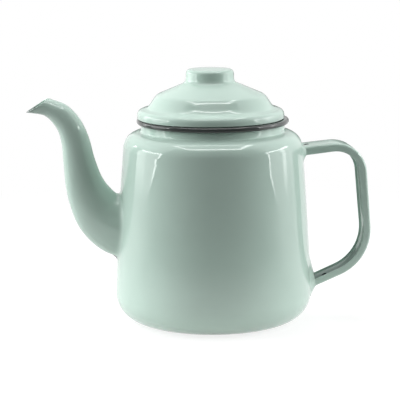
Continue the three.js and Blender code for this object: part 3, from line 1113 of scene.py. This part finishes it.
# Shares of the ground coat's dark colour painted on the strip as shade of its recess: above, and on the low
# arm, where the painted shade is deeper. One turns into the other from the low arm's height on, over the
# height of the bend.
STRIP_PAINTED_SHADE, LOW_ARM_PAINTED_SHADE = 0.3, 0.6
LOW_ARM_HEIGHT, LOW_BEND_HEIGHT = 42 * MM, 14 * MM
# Least angle between a vent's axis and the way its pierced edge faces
PIERCED_ANGLE = math.radians(60)


def handle_corners():
    """Corners of the handle's centre line, with its arms run on into the pot."""
    handle = bpy.context.scene.teapot.handle
    top = at(pot_high.x + handle.top_reach, handle.top_height)
    low = at(pot_high.x + handle.low_reach, handle.low_height)
    start = pot_high.x * ARM_START_SHARE
    return (
        at(start, top.y - (top.x - start) * math.tan(handle.upper_slope)),
        top,
        low,
        at(start, low.y - (low.x - start) * math.tan(handle.lower_slope)),
    )


def handle_line():
    """Centre line of the handle, from inside the pot round its two bends and back."""
    handle = bpy.context.scene.teapot.handle
    start, top, low, end = handle_corners()
    upper = bend(start, top, low, handle.upper_bend)
    lower = bend(top, low, end, handle.lower_bend)
    upright = [upper[-1].lerp(lower[0], i / UPRIGHT_STEPS) for i in range(1, UPRIGHT_STEPS)]
    return [start, *upper, *upright, *lower, end]


def arm_point(corner, incline, reach):
    """Point on one of the handle's arms at a distance out from the pot's side."""
    height = corner.y - (corner.x - pot_high.x) * math.tan(incline)
    x = side_radius(height) + reach
    return Vector((x, 0, corner.y - (corner.x - x) * math.tan(incline)))


def drill_object(place, direction, radius, depth):
    """Round bar that stands on a place and points in a direction."""
    made = mesh_object("drill", [])
    work = bmesh.new()
    size = {"radius1": radius, "radius2": radius, "depth": depth}
    bmesh.ops.create_cone(work, cap_ends=True, segments=VENT_SIDES, **size)
    work.to_mesh(made.data)
    work.free()
    turned_to = UP.rotation_difference(direction).to_matrix().to_4x4()
    made.data.transform(Matrix.Translation(place + direction * depth / 2) @ turned_to)
    return made


def section_object(points, side_signs, back_signs):
    """Section whose points know how far they follow each side and face of the tapering handle."""
    edges = [(i, (i + 1) % len(points)) for i in range(len(points))]
    made = mesh_object("section", [(-point.x, -point.y, 0) for point in points], edges)
    for name, values in (("side", side_signs), ("back", back_signs)):
        store(made, name, values)
    return made


def handle_piece(name, section, vent_place, vent_direction):
    """Section swept along the handle and pierced by its vent. It runs a third of the sheet into the
    pot's wall, and is cut off there."""
    handle, pot = bpy.context.scene.teapot.handle, bpy.context.scene.teapot.pot
    line = outline_object(name, handle_line(), False)
    outer = beside(pot_outline(), pot.sheet / 3)
    outer[0].x = 0
    solid = turned("pot solid", [*outer, at(0, outer[-1].y)], False, enamel_finish())
    vent = drill_object(vent_place, vent_direction, handle.vent_radius, handle.depth)
    tree = bpy.data.node_groups.get("swept handle piece") or swept_tree()
    run_tree(
        line,
        tree,
        {
            "Section": section,
            "Pot": solid,
            "Vent": vent,
            "Width Loss": handle.width - handle.low_width,
            "Depth Loss": handle.depth - handle.low_depth,
            "Material": enamel_finish(),
        },
    )
    for helper in (section, solid, vent):
        remove(helper)
    return tidy_mesh(line)


def strip_painted_shade(height):
    """Share of painted shade, in the ground coat's colour, on the recessed strip at a height."""
    low_share = 1 - eased((height - LOW_ARM_HEIGHT) / LOW_BEND_HEIGHT)
    return STRIP_PAINTED_SHADE + (LOW_ARM_PAINTED_SHADE - STRIP_PAINTED_SHADE) * low_share


def paint_coat_and_shade(made, coat_and_shade_share, vent_place, vent_direction):
    """Tells the enamel how much of the ground coat's dark colour to show: painted shade on the strip, and
    all of it on a vent's pierced edge.
    """
    handle = bpy.context.scene.teapot.handle

    def in_vent(face):
        away = face.center - vent_place
        beside_axis = away.cross(vent_direction).length <= handle.vent_radius
        faces_axis = abs(face.normal.dot(vent_direction)) < math.cos(PIERCED_ANGLE)
        return beside_axis and away.length < handle.depth and faces_axis

    shares = [1 if in_vent(face) else coat_and_shade_share(face.center.z) for face in made.data.polygons]
    store(made, "ground_coat_and_shade", shares, "FACE")


# Reach of the welds round the handle's feet in millimetres, each out along the arm and along the
# pot's wall: towards the hand, away from the hand, and on the flanks
UPPER_WELD = ((2.4, 5), (0.5, 0.5), (2.4, 5))
LOWER_WELD = ((3.7, 22), (4.5, 6), (4, 7))
# How full the welds are, from the inner corner at 0 to a straight slope at 1
WELD_FULLNESS_SHARE = 0.65


def weld_object(corner, incline, outward_sign, reaches):
    """Closed ring of weld, with a hollow face, round the foot of one of the handle's arms."""
    handle, pot = bpy.context.scene.teapot.handle, bpy.context.scene.teapot.pot
    arm = Vector((math.cos(incline), 0, math.sin(incline)))
    outward = Vector((-math.sin(incline), 0, math.cos(incline))) * outward_sign
    share = arm_share(corner, incline)
    side = (handle.width + (handle.low_width - handle.width) * share) / 2
    back = (handle.depth + (handle.low_depth - handle.depth) * share) / 2
    lip = pot.sheet * LIP_SHARE
    middle = arm_point(corner, incline, 0)
    section = rounded([
        (side, -back, lip),
        (side, back, handle.edge),
        (-side, back, handle.edge),
        (-side, -back, lip),
    ])
    places = []
    for i, point in enumerate(section):
        along = section[(i + 1) % len(section)] - section[i - 1]
        normal = at(along.y, -along.x).normalized()
        if normal.dot(point) < 0:
            normal = -normal
        to_hand, to_back, to_flank = max(-normal.y, 0) ** 2, max(normal.y, 0) ** 2, normal.x**2
        out, aside = (
            MM * (to_hand * hand + to_back * away + to_flank * flank)
            for hand, away, flank in zip(*reaches)
        )
        start = middle + ACROSS * point.x + outward * point.y
        search = 2 * back + side
        reach = place_where(-search, search, lambda s: beyond_wall(start + arm * s) < 0)
        meet = start + arm * reach
        way = ACROSS * normal.x + outward * normal.y
        level = Vector((meet.x, meet.y, 0)).normalized()
        tangent = (way - level * way.dot(level)).normalized()
        foot = on_wall(meet + tangent * aside, 0)
        top = meet + arm * out
        sink = pot.sheet / 2 + to_hand * handle.recess
        hollow = bezier([foot, meet.lerp((foot + top) / 2, WELD_FULLNESS_SHARE), top], WELD_STEPS)
        places += [on_wall(foot, -pot.sheet / 2), *hollow, top - way * sink]
    faces = ring_faces(len(places) // len(section), len(section), len(section))
    made = mesh_object("weld", places, faces=faces)
    made.data.materials.append(enamel_finish())
    return tidy_mesh(made)


def arm_share(corner, incline):
    """Share of the handle's length at which an arm leaves the pot."""
    foot = arm_point(corner, incline, 0)
    line = handle_line()
    runs = [(b - a).length for a, b in zip(line, line[1:])]
    from_start = (at(foot.x, foot.z) - line[0]).length
    from_end = (at(foot.x, foot.z) - line[-1]).length
    return from_start / sum(runs) if from_start < from_end else 1 - from_end / sum(runs)


class TEAPOT_OT_make_handle(bpy.types.Operator):
    """Make the handle's channel and the strip that closes it"""

    bl_idname = "teapot.make_handle"
    bl_label = "Handle"

    def execute(self, context):
        handle, pot = context.scene.teapot.handle, context.scene.teapot.pot
        side, back, wall = handle.width / 2, handle.depth / 2, pot.sheet
        lip = wall * LIP_SHARE
        _, top, low, _ = handle_corners()
        outline = rounded([
            (side, -back, lip),
            (side, back, handle.edge),
            (-side, back, handle.edge),
            (-side, -back, lip),
            (wall - side, -back, lip),
            (wall - side, back - wall, handle.edge - wall),
            (side - wall, back - wall, handle.edge - wall),
            (side - wall, -back, lip),
        ])
        sides = [math.copysign(1, point.x) for point in outline]
        channel = section_object(outline, sides, [math.copysign(1, point.y) for point in outline])
        upper_vent = arm_point(top, handle.upper_slope, handle.upper_vent)
        bare = handle_piece("bare channel", channel, upper_vent, UP)
        upper_weld = weld_object(top, handle.upper_slope, 1, UPPER_WELD)
        lower_weld = weld_object(low, handle.lower_slope, -1, LOWER_WELD)
        made = join("handle_channel_enamelled", (bare, upper_weld, lower_weld))
        paint_coat_and_shade(made, lambda height: 0, upper_vent, UP)
        take_place(made, "pot", "enamel", "handle_channel")

        edge = side - wall * STRIP_EDGE_SHARE
        face = handle.recess - back
        dish = [1 - 2 * i / DISH_STEPS for i in range(DISH_STEPS + 1)]
        hollow = [at(edge * across, face + handle.dish * (1 - across**2)) for across in dish]
        outline = [*hollow, *reversed([point + at(0, wall) for point in hollow])]
        strip = section_object(outline, [point.x / edge for point in outline], [-1] * len(outline))
        lower_vent = arm_point(low, handle.lower_slope, handle.lower_vent)
        to_hand = Vector((-math.sin(handle.lower_slope), 0, math.cos(handle.lower_slope)))
        behind = lower_vent - to_hand * handle.dish
        made = handle_piece("handle_inner_strip_enamelled", strip, behind, to_hand)
        # Painted shade for the strip's recess, in the ground coat's colour, deeper on the low arm
        paint_coat_and_shade(made, strip_painted_shade, behind, to_hand)
        take_place(made, "pot", "enamel", "handle_inner_strip")
        return {"FINISHED"}


# Places of the curve handles between the lid's valley and its dome, as shares inwards and up
VALLEY_CURVE_SHARES = (0.43, 0.05)
DOME_CURVE_SHARES = (0.61, 0.81)
# Degrees at which the knob's top edge ends and its crown starts
KNOB_EDGE_END = 87


def cone_height(radius):
    """Height of the lid's cone above the seat at a radius."""
    lid = bpy.context.scene.teapot.lid
    fall = (lid.crown_height - lid.dome_height) / (lid.dome_radius - lid.crown_radius)
    return lid.crown_height + (lid.crown_radius - radius) * fall


def lid_outline():
    """Outer face of the lid's cover, from its turned-in edge to the vent under the knob."""
    lid = bpy.context.scene.teapot.lid
    radius = (lid_high.x - lid_low.x) / 2
    valley = at(lid.valley_radius, lid.valley_height)
    dome = at(lid.dome_radius, lid.dome_height)
    first, second = (
        at(valley.x + (dome.x - valley.x) * inwards, valley.y + (dome.y - valley.y) * up)
        for inwards, up in (VALLEY_CURVE_SHARES, DOME_CURVE_SHARES)
    )
    crown = at(lid.crown_radius, lid.crown_height)
    crown_top = at(lid.crown_top_radius, lid.crown_top_height)
    fall = (lid.crown_height - lid.dome_height) / (lid.dome_radius - lid.crown_radius)
    crown_corner = at(crown.x - (crown_top.y - crown.y) / fall, crown_top.y)
    edge = lid.seat_width / 3
    above_seat = distinct([
        at(radius - lid.seat_width, 0),
        *arc(at(radius - edge, edge), edge, -90, 0),
        *arc(at(radius - lid.tier_corner, lid.tier_height - lid.tier_corner), lid.tier_corner, 0, 90),
        *bezier([valley, first, second, dome]),
        *bezier([crown, crown_corner, crown_top]),
        at(lid.vent_radius, crown_top.y),
    ])
    return [point + at(0, lid_low.z) for point in above_seat]


class TEAPOT_OT_make_lid(bpy.types.Operator):
    """Make the lid's cover and the collar that drops into the neck"""

    bl_idname = "teapot.make_lid"
    bl_label = "Lid"

    def execute(self, context):
        lid, pot = context.scene.teapot.lid, context.scene.teapot.pot
        centre = (lid_high.x + lid_low.x) / 2
        outline = lid_outline()
        section = [*outline, *reversed(beside(outline, pot.sheet))]
        cover = turned("lid_cover_enamelled", section, True, enamel_finish(), centre)
        take_place(cover, "lid", "enamel", "lid_cover")

        radius = collar_high.x - centre
        low, wall, lip = collar_low.z, pot.sheet, pot.sheet * LIP_SHARE
        bend_radius = 2 * pot.sheet
        ring = rounded([
            (radius - lid.collar_lead, low, lip),
            (radius, low + lid.collar_lead_height, bend_radius),
            (radius, collar_high.z, 0),
            (radius - wall, collar_high.z, 0),
            (radius - wall, low + lid.collar_lead_height, bend_radius),
            (radius - lid.collar_lead - wall, low, lip),
        ])
        collar = turned("lid_collar_enamelled", ring, True, enamel_finish(), centre)
        take_place(collar, "lid", "enamel", "lid_collar")
        return {"FINISHED"}


class TEAPOT_OT_make_knob(bpy.types.Operator):
    """Make the hollow knob on the crown of the lid"""

    bl_idname = "teapot.make_knob"
    bl_label = "Knob"

    def execute(self, context):
        lid, pot = context.scene.teapot.lid, context.scene.teapot.pot
        centre = (lid_high.x + lid_low.x) / 2 - lid.knob_offset
        foot_radius = lid.knob_radius + lid.knob_flare
        foot = at(foot_radius, lid_low.z + cone_height(foot_radius))
        corner = at(lid.knob_radius, lid_low.z + cone_height(lid.knob_radius))
        neck = corner + at(0, lid.knob_flare_height)
        edge_top = knob_high.z - lid.knob_crown
        top_radius = lid.knob_radius - lid.knob_edge
        outline = distinct([
            *bezier([foot, corner, neck], FLARE_STEPS),
            *arc(at(top_radius, edge_top - lid.knob_edge), lid.knob_edge, 0, KNOB_EDGE_END),
            *bezier([at(top_radius, edge_top), at(top_radius / 2, knob_high.z), at(0, knob_high.z)]),
        ])
        inner = beside(outline, pot.sheet)
        inner[-1].x = 0
        section = [*reversed(outline), *inner]
        made = turned("lid_knob_enamelled", section, False, enamel_finish(), centre)
        take_place(made, "lid", "enamel", "lid_knob")
        return {"FINISHED"}


# Stage

FLOOR_REACH = 1.6
# Distances from the teapot's middle between which the floor turns to its middle grey and its far
# grey, as the teapot's own shading sees it, and to pure white, as the camera sees it
TO_MIDDLE_GREY, TO_FAR_GREY, TO_WHITE = (0.09, 0.14), (0.15, 0.29), (0.25, 0.55)
MIDDLE_GREY, FAR_GREY = 0.5, 0.08
# The floor near the teapot as the camera sees it: a glow that nothing shades, and a faint matt grey
FLOOR_GLOW, FAINT_GREY = 0.8, 0.26

# Steps across and up of the cards
CARD_STEPS = {
    "black card": (60, 60),
    "left panel": (90, 48),
    "right panel": (90, 48),
    "overhead panel": (50, 40),
    "grey card": (64, 72),
}

# Share of the black card that lies on the floor, where it starts, its length for each share of the
# card, and its lift. The lying part fades in with the distance and at its sides, and the fade at the
# sides ends a share above the turn.
LYING_SHARE = 0.4
LYING_START, LYING_SCALE, CARD_LIFT = 0.12, 1.2, 0.002
NEAR_FADE_START, NEAR_FADE = 0.03, 0.38
SIDE_FADE_SHARE, STANDING_FADE_SHARE = 0.15, 0.04
BLACK, FADING_WHITE = 0.02, 0.95

# Distance of the side panels, their height off the floor, and the height in which they fade in.
# Their bright frame starts at a share of the height, and is some degrees wide at the inner edge.
PANEL_DISTANCE, PANEL_FOOT, PANEL_FADE = 0.95, 0.01, 0.06
FRAME_START_SHARE, FRAME_DEGREES, FRAME_RADIANCE = 0.82, 3.5, 8

# Width, depth, front edge and height of the overhead panel, and the shares where its frame starts
# and ends: in front, from its middle line and at the back. Its radiances are in the same order.
OVERHEAD_WIDTH, OVERHEAD_DEPTH, OVERHEAD_FRONT, OVERHEAD_HEIGHT = 0.95, 0.67, -0.42, 1.1
OVERHEAD_SHARES = (0.18, 0.42, 0.9)
OVERHEAD_RADIANCES = (8, 7, 5)
OVERHEAD_INSIDE = 1.2

# Width, left edge, distance and height of the grey card behind, its two dark parts, and the height
# above which the upper one gets lighter
GREY_WIDTH, GREY_LEFT, GREY_DISTANCE, GREY_HEIGHT = 0.32, -0.08, 0.3, 0.36
LOW_PART_TOP, LOW_PART_LEFT, LOW_PART_RIGHT, LOW_PART_GREY = 0.1, -0.02, 0.07, 0.2
HIGH_PART_RIGHT, HIGH_PART_GREY, LIGHTER, LIGHTER_START, LIGHTER_RISE = 0.2, 0.12, 0.6, 0.15, 0.04

# Width of the camera's sensor in millimetres, and the distances between which it sees
SENSOR_WIDTH = 36
CLIP_START, CLIP_END = 0.01, 20


def grey(level):
    return (level, level, level, 1)


def seen_rays(tree):
    """1 for rays from the camera, from gloss or through glass, else 0."""
    path = add(tree, "ShaderNodeLightPath")
    seen = path.outputs["Is Camera Ray"]
    for other in ("Is Glossy Ray", "Is Transmission Ray"):
        seen = add(tree, "ShaderNodeMath", {0: seen, 1: path.outputs[other]}, operation="MAXIMUM")
    return seen


def make_world(stage):
    world = bpy.data.worlds.new("studio")
    bpy.context.scene.world = world
    world.use_nodes = True
    tree = world.node_tree
    tree.nodes.clear()
    even = add(tree, "ShaderNodeBackground", {"Color": grey(1), "Strength": stage.ambient})
    white = add(tree, "ShaderNodeBackground", {"Color": grey(1), "Strength": 1.0})
    both = add(tree, "ShaderNodeMixShader", {0: seen_rays(tree), 1: even, 2: white})
    add(tree, "ShaderNodeOutputWorld", {"Surface": both})


def floor_finish(finish):
    """Matt white floor that keeps the teapot's shadow. It darkens away from the teapot for the light
    that it throws back, and turns to plain white there for the camera and the gloss."""
    material, tree = new_material("matt white floor")
    near_white = add(tree, "ShaderNodeBsdfDiffuse", {"Color": list(finish.floor)})
    middle_grey = add(tree, "ShaderNodeBsdfDiffuse", {"Color": grey(MIDDLE_GREY)})
    far_grey = add(tree, "ShaderNodeBsdfDiffuse", {"Color": grey(FAR_GREY)})
    faint = add(tree, "ShaderNodeBsdfDiffuse", {"Color": grey(FAINT_GREY)})
    glow = add(tree, "ShaderNodeEmission", {"Color": grey(1), "Strength": FLOOR_GLOW})
    shaded = add(tree, "ShaderNodeAddShader", {0: faint, 1: glow})
    white = add(tree, "ShaderNodeEmission", {"Color": grey(1), "Strength": 1.0})
    where = add(tree, "ShaderNodeTexCoord").outputs["Object"]
    away = add(tree, "ShaderNodeVectorMath", {0: where}, operation="LENGTH").outputs["Value"]
    middle, far, plain = (
        add(
            tree,
            "ShaderNodeMapRange",
            {"Value": away, "From Min": start, "From Max": end},
            interpolation_type="SMOOTHSTEP",
        )
        for start, end in (TO_MIDDLE_GREY, TO_FAR_GREY, TO_WHITE)
    )
    under = add(tree, "ShaderNodeMixShader", {0: middle, 1: near_white, 2: middle_grey})
    matt = add(tree, "ShaderNodeMixShader", {0: far, 1: under, 2: far_grey})
    pale = add(tree, "ShaderNodeMixShader", {0: plain, 1: shaded, 2: white})
    gloss = add(tree, "ShaderNodeLightPath").outputs["Is Glossy Ray"]
    bright = add(tree, "ShaderNodeMixShader", {0: gloss, 1: pale, 2: white})
    both = add(tree, "ShaderNodeMixShader", {0: seen_rays(tree), 1: matt, 2: bright})
    add(tree, "ShaderNodeOutputMaterial", {"Surface": both})
    return material


def make_floor(finish):
    corners = [(x * FLOOR_REACH, y * FLOOR_REACH, 0) for x, y in ((-1, -1), (1, -1), (1, 1), (-1, 1))]
    made = mesh_object("floor", corners, faces=[(0, 1, 2, 3)])
    made.data.materials.append(floor_finish(finish))


def make_card(name, place, radiance):
    """Card that only polished surfaces see, placed and lit by functions of shares across and up."""
    columns, rows = CARD_STEPS[name]
    shares = [(i / columns, j / rows) for i in range(columns + 1) for j in range(rows + 1)]
    faces = []
    for i in range(columns):
        for j in range(rows):
            near, far = i * (rows + 1) + j, (i + 1) * (rows + 1) + j
            faces.append((near, far, far + 1, near + 1))
    made = mesh_object(name, [place(*share) for share in shares], faces=faces)
    store(made, "radiance", [radiance(*share) for share in shares])
    material, tree = new_material(name)
    level = add(tree, "ShaderNodeAttribute", attribute_name="radiance")
    lit = add(tree, "ShaderNodeEmission", {"Color": grey(1), "Strength": level.outputs["Fac"]})
    add(tree, "ShaderNodeOutputMaterial", {"Surface": lit})
    made.data.materials.append(material)
    made.visible_camera = False
    made.visible_diffuse = False
    made.visible_shadow = False


def towards(bearing, distance, height):
    """Place at a bearing in degrees from the -Y axis, positive to the spout's side."""
    angle = math.radians(-90 - bearing)
    return Vector((math.cos(angle) * distance, math.sin(angle) * distance, height))


def leaning(top, low, end_share):
    """Bearing of a card's edge, which leans from one at the floor to another at a share of its height."""
    return lambda share: top + (low - top) * max(1 - share / end_share, 0)


def eased(share):
    """0 up to 0, 1 from 1 on, and a soft step between."""
    share = clamped(share)
    return share * share * (3 - 2 * share)


BLACK_LEFT, BLACK_RIGHT = leaning(71, 101, 0.12), leaning(-65.5, -85, 0.09)


def make_black_card():
    """Black card in front. Its first part lies on the floor, where it fades in, and the rest stands."""

    def place(across, up):
        share = max(up - LYING_SHARE, 0) / (1 - LYING_SHARE)
        left, right = BLACK_LEFT(share), BLACK_RIGHT(share)
        bearing = left + (right - left) * across
        return towards(bearing, LYING_START + LYING_SCALE * min(up, LYING_SHARE), CARD_LIFT + share)

    def radiance(across, up):
        near = 1 - eased((LYING_SCALE * min(up, LYING_SHARE) - NEAR_FADE_START) / NEAR_FADE)
        side = 1 - eased(min(across, 1 - across) / SIDE_FADE_SHARE)
        side *= 1 - eased((up - LYING_SHARE) / STANDING_FADE_SHARE)
        return BLACK + FADING_WHITE * max(near, side)

    make_card("black card", place, radiance)


# Inner edge, outer bearing, height, bearings of the brighter band, and radiance of it and the rest
SIDE_PANELS = {
    "left panel": (leaning(71.5, 89, 0.234), 130, 0.47, (97, 131), 3.0, 2.0),
    "right panel": (leaning(-66, -75, 0.12), -112, 0.54, (91, 98), 4.4, 1.6),
}


def make_side_panel(name, inner, outer, high, band, band_radiance, inside_radiance):
    """Panel between a leaning inner edge and an outer bearing, with a frame and a brighter band."""

    def place(across, up):
        bearing = inner(up) + (outer - inner(up)) * across
        return towards(bearing, PANEL_DISTANCE, PANEL_FOOT + high * up)

    def radiance(across, up):
        bearing = abs(inner(up) + (outer - inner(up)) * across)
        level = band_radiance if band[0] < bearing < band[1] else inside_radiance
        if up > FRAME_START_SHARE or bearing < abs(inner(up)) + FRAME_DEGREES:
            level = FRAME_RADIANCE
        return 1 + (level - 1) * min(up * high / PANEL_FADE, 1)

    make_card(name, place, radiance)


def make_overhead_panel():
    """Panel overhead, with a bright frame that is brightest in front."""
    front_share, side_share, back_share = OVERHEAD_SHARES
    front, side, back = OVERHEAD_RADIANCES

    def place(across, up):
        x = OVERHEAD_WIDTH * across - OVERHEAD_WIDTH / 2
        return Vector((x, OVERHEAD_DEPTH * up + OVERHEAD_FRONT, OVERHEAD_HEIGHT))

    def radiance(across, up):
        if up < front_share:
            return front
        if abs(across - 0.5) > side_share:
            return side
        return back if up > back_share else OVERHEAD_INSIDE

    make_card("overhead panel", place, radiance)


def make_grey_card():
    """Card behind the teapot, dark where the handle's strip and the backs of the curves show it."""

    def place(across, up):
        return Vector((GREY_WIDTH * across + GREY_LEFT, GREY_DISTANCE, GREY_HEIGHT * up))

    def radiance(across, up):
        here = place(across, up)
        if here.z <= LOW_PART_TOP:
            return LOW_PART_GREY if LOW_PART_LEFT < here.x < LOW_PART_RIGHT else 1
        if here.x >= HIGH_PART_RIGHT:
            return 1
        return HIGH_PART_GREY + LIGHTER * eased((here.z - LIGHTER_START) / LIGHTER_RISE)

    make_card("grey card", place, radiance)


# Bearing from the camera, positive to its left, elevation, distance, width, height and radiance
SOFTBOXES = {
    "left softbox": (93, 24, 1.05, 1.02, 0.9, 5.0),
    "right softbox": (-90, 24, 1.05, 0.85, 0.9, 4.2),
    "overhead softbox": (180, 68, 1.0, 0.6, 0.7, 3.2),
}


def make_softbox(stage, name, bearing, elevation, distance, wide, tall, radiance):
    """Area light that faces the teapot."""
    heading = math.radians(-90 - bearing) - stage.camera_turn
    rise = math.radians(elevation)
    way = Vector((math.cos(heading) * math.cos(rise), math.sin(heading) * math.cos(rise), math.sin(rise)))
    data = bpy.data.lights.new(name, "AREA")
    data.shape = "RECTANGLE"
    data.size, data.size_y = wide, tall
    data.energy = radiance * math.pi * wide * tall
    made = new_object(name, data)
    made.location = Vector((0, 0, pot_high.z / 2)) + way * distance
    made.rotation_euler = (-way).to_track_quat("-Z", "Y").to_euler()
    made.visible_glossy = False


def make_camera(stage):
    data = bpy.data.cameras.new("camera")
    data.lens = stage.focal_length
    data.sensor_width = SENSOR_WIDTH
    data.clip_start, data.clip_end = CLIP_START, CLIP_END
    made = new_object("camera", data)
    place = Matrix.Rotation(-stage.camera_turn, 4, "Z")
    where = Matrix.Translation((-stage.camera_shift, -stage.camera_distance, stage.camera_height))
    tilt = Matrix.Rotation(math.pi / 2 - stage.camera_pitch, 4, "X")
    roll = Matrix.Rotation(-stage.camera_roll, 4, "Z")
    made.matrix_world = place @ where @ tilt @ roll
    bpy.context.scene.camera = made


class TEAPOT_OT_make_stage(bpy.types.Operator):
    """Make the floor, the lights, the world and the camera"""

    bl_idname = "teapot.make_stage"
    bl_label = "Stage"

    def execute(self, context):
        stage = context.scene.teapot.stage
        context.scene.view_settings.view_transform = "Standard"
        make_world(stage)
        make_floor(context.scene.teapot.finish)
        make_black_card()
        for name, values in SIDE_PANELS.items():
            make_side_panel(name, *values)
        make_overhead_panel()
        make_grey_card()
        for name, values in SOFTBOXES.items():
            make_softbox(stage, name, *values)
        make_camera(stage)
        return {"FINISHED"}


MAKERS = (
    TEAPOT_OT_make_stage,
    TEAPOT_OT_make_pot,
    TEAPOT_OT_make_rim_trim,
    TEAPOT_OT_make_spout,
    TEAPOT_OT_make_handle,
    TEAPOT_OT_make_lid,
    TEAPOT_OT_make_knob,
)


class TEAPOT_PT_panel(bpy.types.Panel):
    """Sizes, colours and pieces of the teapot"""

    bl_label = "Enamel teapot"
    bl_idname = "TEAPOT_PT_panel"
    bl_space_type = "VIEW_3D"
    bl_region_type = "UI"
    bl_category = "Teapot"

    def draw(self, context):
        for maker in MAKERS:
            self.layout.operator(maker.bl_idname)
        for group in ("pot", "spout", "handle", "lid", "finish", "stage"):
            box = self.layout.box()
            box.label(text=group.capitalize())
            settings = getattr(context.scene.teapot, group)
            for name in settings.__annotations__:
                box.prop(settings, name)


CLASSES = (
    TeapotPotSettings,
    TeapotSpoutSettings,
    TeapotHandleSettings,
    TeapotLidSettings,
    TeapotFinishSettings,
    TeapotStageSettings,
    TeapotSettings,
    *MAKERS,
    TEAPOT_PT_panel,
)


def register():
    for made in CLASSES:
        bpy.utils.register_class(made)
    bpy.types.Scene.teapot = bpy.props.PointerProperty(type=TeapotSettings)


def unregister():
    del bpy.types.Scene.teapot
    for made in reversed(CLASSES):
        bpy.utils.unregister_class(made)


def main():
    register()
    bpy.ops.teapot.make_stage()
    bpy.ops.teapot.make_pot()
    bpy.ops.teapot.make_rim_trim()
    bpy.ops.teapot.make_spout()
    bpy.ops.teapot.make_handle()
    bpy.ops.teapot.make_lid()
    bpy.ops.teapot.make_knob()


if __name__ == "__main__":
    main()
